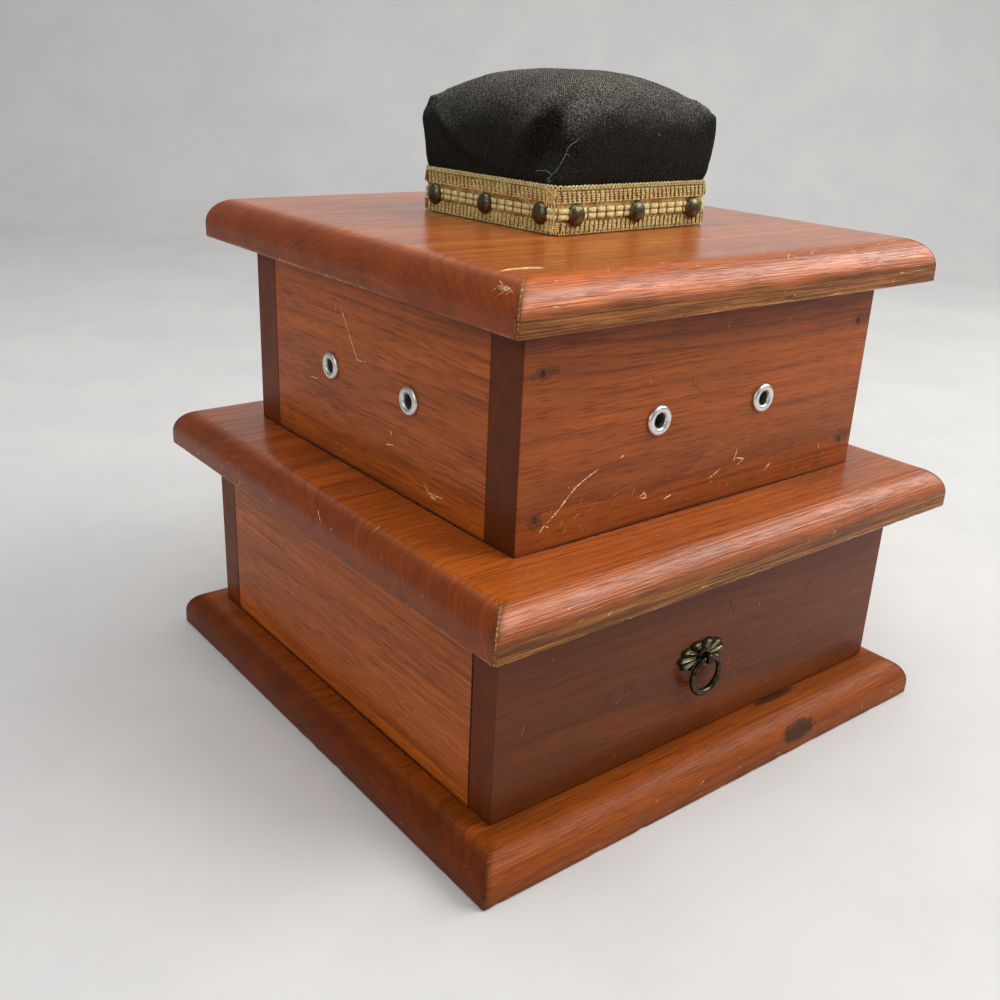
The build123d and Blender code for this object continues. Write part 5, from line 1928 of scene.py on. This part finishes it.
@dataclass
class SewingBox:
    """The whole sewing box, from its slabs and boxes to its pincushion."""

    rim: float = 217.5
    mid_bottom: float = 107.5
    hinge_screw_line: float = 100.4
    hinge_middles: Pair = (-62.0, 62.0)
    hinge_screw_spacing: float = 13.0
    hinge_length: float = 38.0
    hinge_axis: float = 108.3
    leaf_width: float = 13.0
    leaf_thickness: float = 1.2
    knuckle_radius: float = 2.3
    screw_inset: float = 46.0
    lower_wall_middle: float = 114.5
    upper_wall_middle: float = 96.0
    cushion_screws_at: tuple[float, float, float] = (2.3, 1.2, 22.0)
    scatter: Tree = field(default_factory=scatter_tree)
    row: Tree = field(default_factory=row_tree)
    scratch: Tree = field(default_factory=scratch_tree)

    def build(self) -> None:
        """Builds every sub-assembly in order."""
        self.build_finishes()
        self.build_screws()
        self.build_slabs()
        self.build_boards()
        self.build_fittings()
        self.build_cushion()
        Wear(self.scratch).build()

    def build_finishes(self) -> None:
        """Makes the finishes that several pieces share."""
        self.steel = Metal("steel", (0.55, 0.54, 0.52), (0.30, 0.27, 0.24), 0.3).material()
        self.eyelet_metal = Metal(
            "eyelet_aluminium", (0.72, 0.71, 0.69), (0.50, 0.49, 0.48), 0.24, 0.5, 0.8, 0.00001
        ).material()
        self.brass = Metal("hinge_brass", (0.80, 0.56, 0.22), (0.36, 0.22, 0.09), 0.26).material()
        self.antique = Metal(
            "antique_brass", (0.36, 0.31, 0.19), (0.020, 0.015, 0.009), 0.32, 0.32, 0.58, 0.00008, 900.0,
            hollow=(-123.3, -122.5),
        ).material()
        self.dark_brass = Metal(
            "dark_brass", (0.085, 0.062, 0.036), (0.018, 0.013, 0.010), 0.17, 0.35, 0.7, 0.00002, 500.0
        ).material()
        self.tack_brass = Metal(
            "tack_bronze", (0.15, 0.13, 0.07), (0.05, 0.042, 0.026), 0.24, 0.4, 0.7, 0.00002, 500.0
        ).material()
        self.filler = Matte("wood_filler", (0.10, 0.04, 0.022), (0.055, 0.022, 0.014), 900.0, 0.6).material()

    def build_screws(self) -> None:
        """Makes the screws and keeps the bores that they need."""
        wall, inset = self.lower_wall_middle, self.screw_inset
        low_y = (-106.5 + inset, 105.5 - inset)
        base = [(x, y, 0.0) for x in (-wall, wall) for y in low_y]
        base += [(x, 113.5, 0.0) for x in (-inset, inset)]
        upper = self.upper_wall_middle
        middle = [(x, y, self.mid_bottom) for x in (-inset, inset) for y in (-upper, upper)]
        middle += [(x, y, self.mid_bottom) for x in (-upper, upper) for y in (-inset, inset)]
        x0, y0, half = self.cushion_screws_at
        cushion = [(x0 + s, y0, self.rim) for s in (-half, half)]
        hinge = [
            (m + s * self.hinge_screw_spacing, self.hinge_screw_line, self.rim)
            for m in self.hinge_middles
            for s in (-1, 0, 1)
        ]
        rolls = random.Random(5)

        def down(spots: Sequence[Point]) -> list[Matrix]:
            """Places of screws driven upwards from a lower face."""
            return [place_at(p, (0, 0, -1), rolls.uniform(0, 180)) for p in spots]

        self.base_screws = Screws("base_slab_screws", "base_screws", "case", down(base), 1.9, 3.7, 42.0)
        self.mid_screws = Screws("middle_slab_screws", "mid_screws", "case", down(middle), 1.9, 3.7, 42.0)
        self.cushion_screws = Screws(
            "pincushion_screws", "cushion_screws", "lid", down(cushion), 1.9, 3.7, 30.0
        )
        self.lid_screws = Screws(
            "hinge_lid_leaf_screws", "hinge_lid_screws", "lid", down(hinge), 1.3, 2.5, 13.0, slot_width=0.6,
            slot_depth=0.6,
        )
        up = [place_at(p, (0, 0, 1), rolls.uniform(0, 180)) for p in hinge]
        self.case_screws = Screws(
            "hinge_case_leaf_screws", "hinge_case_screws", "case", up, 1.3, 2.5, 13.0, slot_width=0.6,
            slot_depth=0.6,
        )
        for screws in (self.base_screws, self.mid_screws, self.cushion_screws):
            screws.build(self.scatter, self.steel)
        for screws in (self.lid_screws, self.case_screws):
            screws.build(self.scatter, self.brass)

    def hinge_recesses(self) -> list[Mesh]:
        """Returns the lid's recesses for the hinges' leaves and barrels."""
        cutters = []
        front = self.hinge_axis - self.leaf_width
        for middle in self.hinge_middles:
            half = self.hinge_length / 2
            for x0, x1, y0, y1, top in (
                (middle - half - 0.1, middle + half + 0.1, front - 0.1, self.hinge_axis, self.leaf_thickness),
                (
                    middle - half - 0.4, middle + half + 0.4, self.hinge_axis - self.knuckle_radius - 0.4,
                    self.hinge_axis + self.knuckle_radius + 0.4, self.knuckle_radius + 0.4,
                ),
            ):
                z0, z1 = self.rim - 2.0, self.rim + top
                size = (x1 - x0, y1 - y0, z1 - z0)
                spot = Vector(((x0 + x1) / 2, (y0 + y1) / 2, (z0 + z1) / 2)) * MM
                cutters.append(moved(rounded_block("recess", size, 0.02), Matrix.Translation(spot)))
        return cutters

    def build_slabs(self) -> None:
        """Builds the base, the middle slab and the lid's board."""
        base = Varnish(
            "base_slab_varnish", Grain.ALONG_X, (-60.0, -95.0), 3.6, mitre_half=141.5, land=(0.0, 3.0),
            brightness=0.68, coat=0.12, satin=0.28, curl_relief=4.0, end_tone=(0.40, 0.33, 0.40),
            gold=(0.12, 0.035, 0.007), rubbed_and_shaded=(0.09, 0.024, 0.005), seed=3.1,
            blemishes=(
                Blemish(Tone.DARK, (51.0, -122.5, 19.0), (15.0, 2.2, 3.0), 0.35),
                Blemish(Tone.DARK, (49.5, -141.0, 10.5), (12.0, 4.0, 5.5), 0.5),
            ),
        )
        Slab("base_board", "base_slab", "case", "case_wood", 283.0, 0.0, base, seed=1).build(
            self.base_screws.bores()
        )
        middle = Varnish(
            "middle_slab_varnish", Grain.ALONG_X, (40.0, 10.0), 3.4, mitre_half=141.5, land=(107.5, 117.0),
            coat=0.85, satin=0.22, curl_relief=5.5, end_tone=(0.42, 0.34, 0.40), seed=8.4,
        )
        Slab("mid_board", "middle_slab", "case", "case_wood", 283.0, 107.5, middle, seed=2).build(
            self.mid_screws.bores() + SpoolPins().sockets()
        )
        lid = Varnish(
            "lid_varnish", Grain.ALONG_X, (-30.0, 140.0), 3.6, mitre_half=124.0, land=(217.5, 227.0),
            brightness=1.12, coat=0.95, satin=0.22, curl_relief=5.5, end_tone=(0.42, 0.34, 0.40), seed=5.7,
            blemishes=(Blemish(Tone.BARE, (-120.3, -111.0, 232.4), (1.1, 3.0, 1.6), 1.7),),
        )
        Slab("lid_board", "lid_slab", "lid", "lid_wood", 248.0, 217.5, lid, seed=3).build(
            self.hinge_recesses() + self.lid_screws.bores() + self.cushion_screws.bores()
        )

    def build_boards(self) -> None:
        """Dresses the boards of both boxes and the drawer."""
        x, y = Grain.ALONG_X, Grain.ALONG_Y
        # Foot and rim heights of each box, where painted shade darkens the boards.
        low, high = (19.0, 107.5), (126.5, 217.5)
        smudges = tuple(
            Blemish(Tone.SMUDGE, (beside, -105.5, up), (wide, 4.0, tall), 0.9)
            for beside, up, wide, tall in (
                (-95.0, 198.5, 6.5, 2.8), (98.5, 199.0, 6.5, 3.0), (98.5, 141.5, 6.5, 3.4),
                (-96.0, 139.5, 4.0, 3.4),
            )
        )
        front = dict(brightness=0.8, blemishes=smudges)
        face = dict(end_tone=(0.85, 0.72, 0.85), stain_amount=0.8, brightness=0.3)
        boards = []
        for node, finish, grain, pith, pitch, painted_shade_span, seed, more in (
            ("lower_side_left", "lower_left", y, (-180.0, 40.0), 3.4, low, 1.3, {}),
            ("lower_side_right", "lower_right", y, (190.0, 90.0), 3.7, low, 2.3, {}),
            ("lower_back", "lower_back", x, (170.0, 30.0), 3.9, low, 4.2, {}),
            ("upper_front", "upper_front", x, (-175.0, 150.0), 3.8, high, 6.6, front),
            ("upper_back", "upper_back", x, (180.0, 190.0), 3.5, high, 7.5, {}),
            ("upper_side_left", "upper_left", y, (-170.0, 160.0), 3.6, high, 9.1, {}),
            ("upper_side_right", "upper_right", y, (160.0, 200.0), 3.6, high, 10.4, {}),
            ("drawer_front", "drawer_face", x, (-190.0, 20.0), 4.0, low, 11.2, face),
        ):
            varnish = Varnish(f"{finish}_varnish", grain, pith, pitch, painted_shade_span=painted_shade_span, seed=seed, **more)
            moving = node == "drawer_front"
            body, slot = ("drawer", "drawer_face_wood") if moving else ("case", "case_wood")
            boards.append((node, body, slot, varnish))
        plain = dict(
            early=(0.60, 0.42, 0.22), late=(0.40, 0.24, 0.11), stain=(0.36, 0.22, 0.11), stain_amount=0.25,
            end_tone=(0.7, 0.66, 0.6), varnished=False,
        )
        for node, grain, pith, seed in (
            ("drawer_side_left", y, (-150.0, 50.0), 12.1), ("drawer_side_right", y, (150.0, 70.0), 13.4),
            ("drawer_back", x, (160.0, 60.0), 14.2), ("drawer_bottom", y, (30.0, -160.0), 15.5),
        ):
            pine = Varnish(f"{node}_pine", grain, pith, seed=seed, **plain)
            boards.append((node, "drawer", "inner_wood", pine))
        block = Varnish("cushion_block_pine", x, (-120.0, 200.0), seed=16.3, **plain)
        boards.append(("cushion_block", "lid", "inner_wood", block))
        for node, body, slot, varnish in boards:
            clear = 0.15 if node.startswith("drawer_side") else 0.0
            dressed_board(node, f"{node}_board", body, varnish.material(), clear=clear)

    def build_fittings(self) -> None:
        """Builds the eyelets, pins, hinges, nails and the pull."""
        Eyelets().build(self.scatter, self.eyelet_metal)
        dowel = Varnish(
            "dowel_birch", Grain.ALONG_Z, (300.0, 40.0), early=(0.68, 0.50, 0.29), late=(0.52, 0.35, 0.18),
            stain=(0.45, 0.3, 0.16), stain_amount=0.2, end_tone=(0.75, 0.7, 0.62), varnished=False, seed=17.0,
        ).material()
        SpoolPins().build(self.scatter, dowel)
        for node in ("hinge_case_leaves", "hinge_lid_leaves", "hinge_pins"):
            body = "lid" if node == "hinge_lid_leaves" else "case"
            dressed_board(node, f"{node}_brass", body, self.brass, 0.15)
        for node in ("lower_nails", "upper_nails", "drawer_nails", "pull_washer", "pull_nut"):
            dress_node(node, self.steel)
        for node in ("lower_nail_fillers", "upper_nail_fillers"):
            dress_node(node, self.filler)
        Pull().build(self.antique, self.dark_brass)

    def build_cushion(self) -> None:
        """Builds the pincushion."""
        bright, woven, dark, ground = (
            Gilt(f"gilt_{name}", shining, dull, roughness=roughness, metallic=metallic).material()
            for name, shining, dull, roughness, metallic in (
                ("bright", (1.0, 0.94, 0.46), (1.0, 0.86, 0.36), 0.3, 0.0),
                ("woven", (1.0, 0.89, 0.41), (1.0, 0.73, 0.27), 0.32, 0.0),
                ("ties", (0.45, 0.28, 0.09), (0.16, 0.08, 0.022), 0.5, 0.1),
                ("ground", (0.78, 0.53, 0.19), (0.42, 0.25, 0.08), 0.6, 0.05),
            )
        )
        cushion = Cushion()
        cushion.build_braid(self.row, bright, woven, dark, ground)
        cushion.build_tacks(self.scatter, self.tack_brass)
        cushion.build_pad(Wool().material())


def dress_node(node: str, material: Material) -> None:
    """Gives a CAD node that stays as it is its material."""
    data = frame["nodes"][node].data
    data.materials.clear()
    data.materials.append(material)
    log.info("%s: dressed as it is", node)


def main() -> None:
    """Builds the sewing box and its studio."""
    logging.basicConfig(level=logging.INFO, format="%(name)s: %(message)s")
    Studio().build()
    SewingBox().build()
    bpy.context.view_layer.update()


if __name__ == "__main__":
    main()
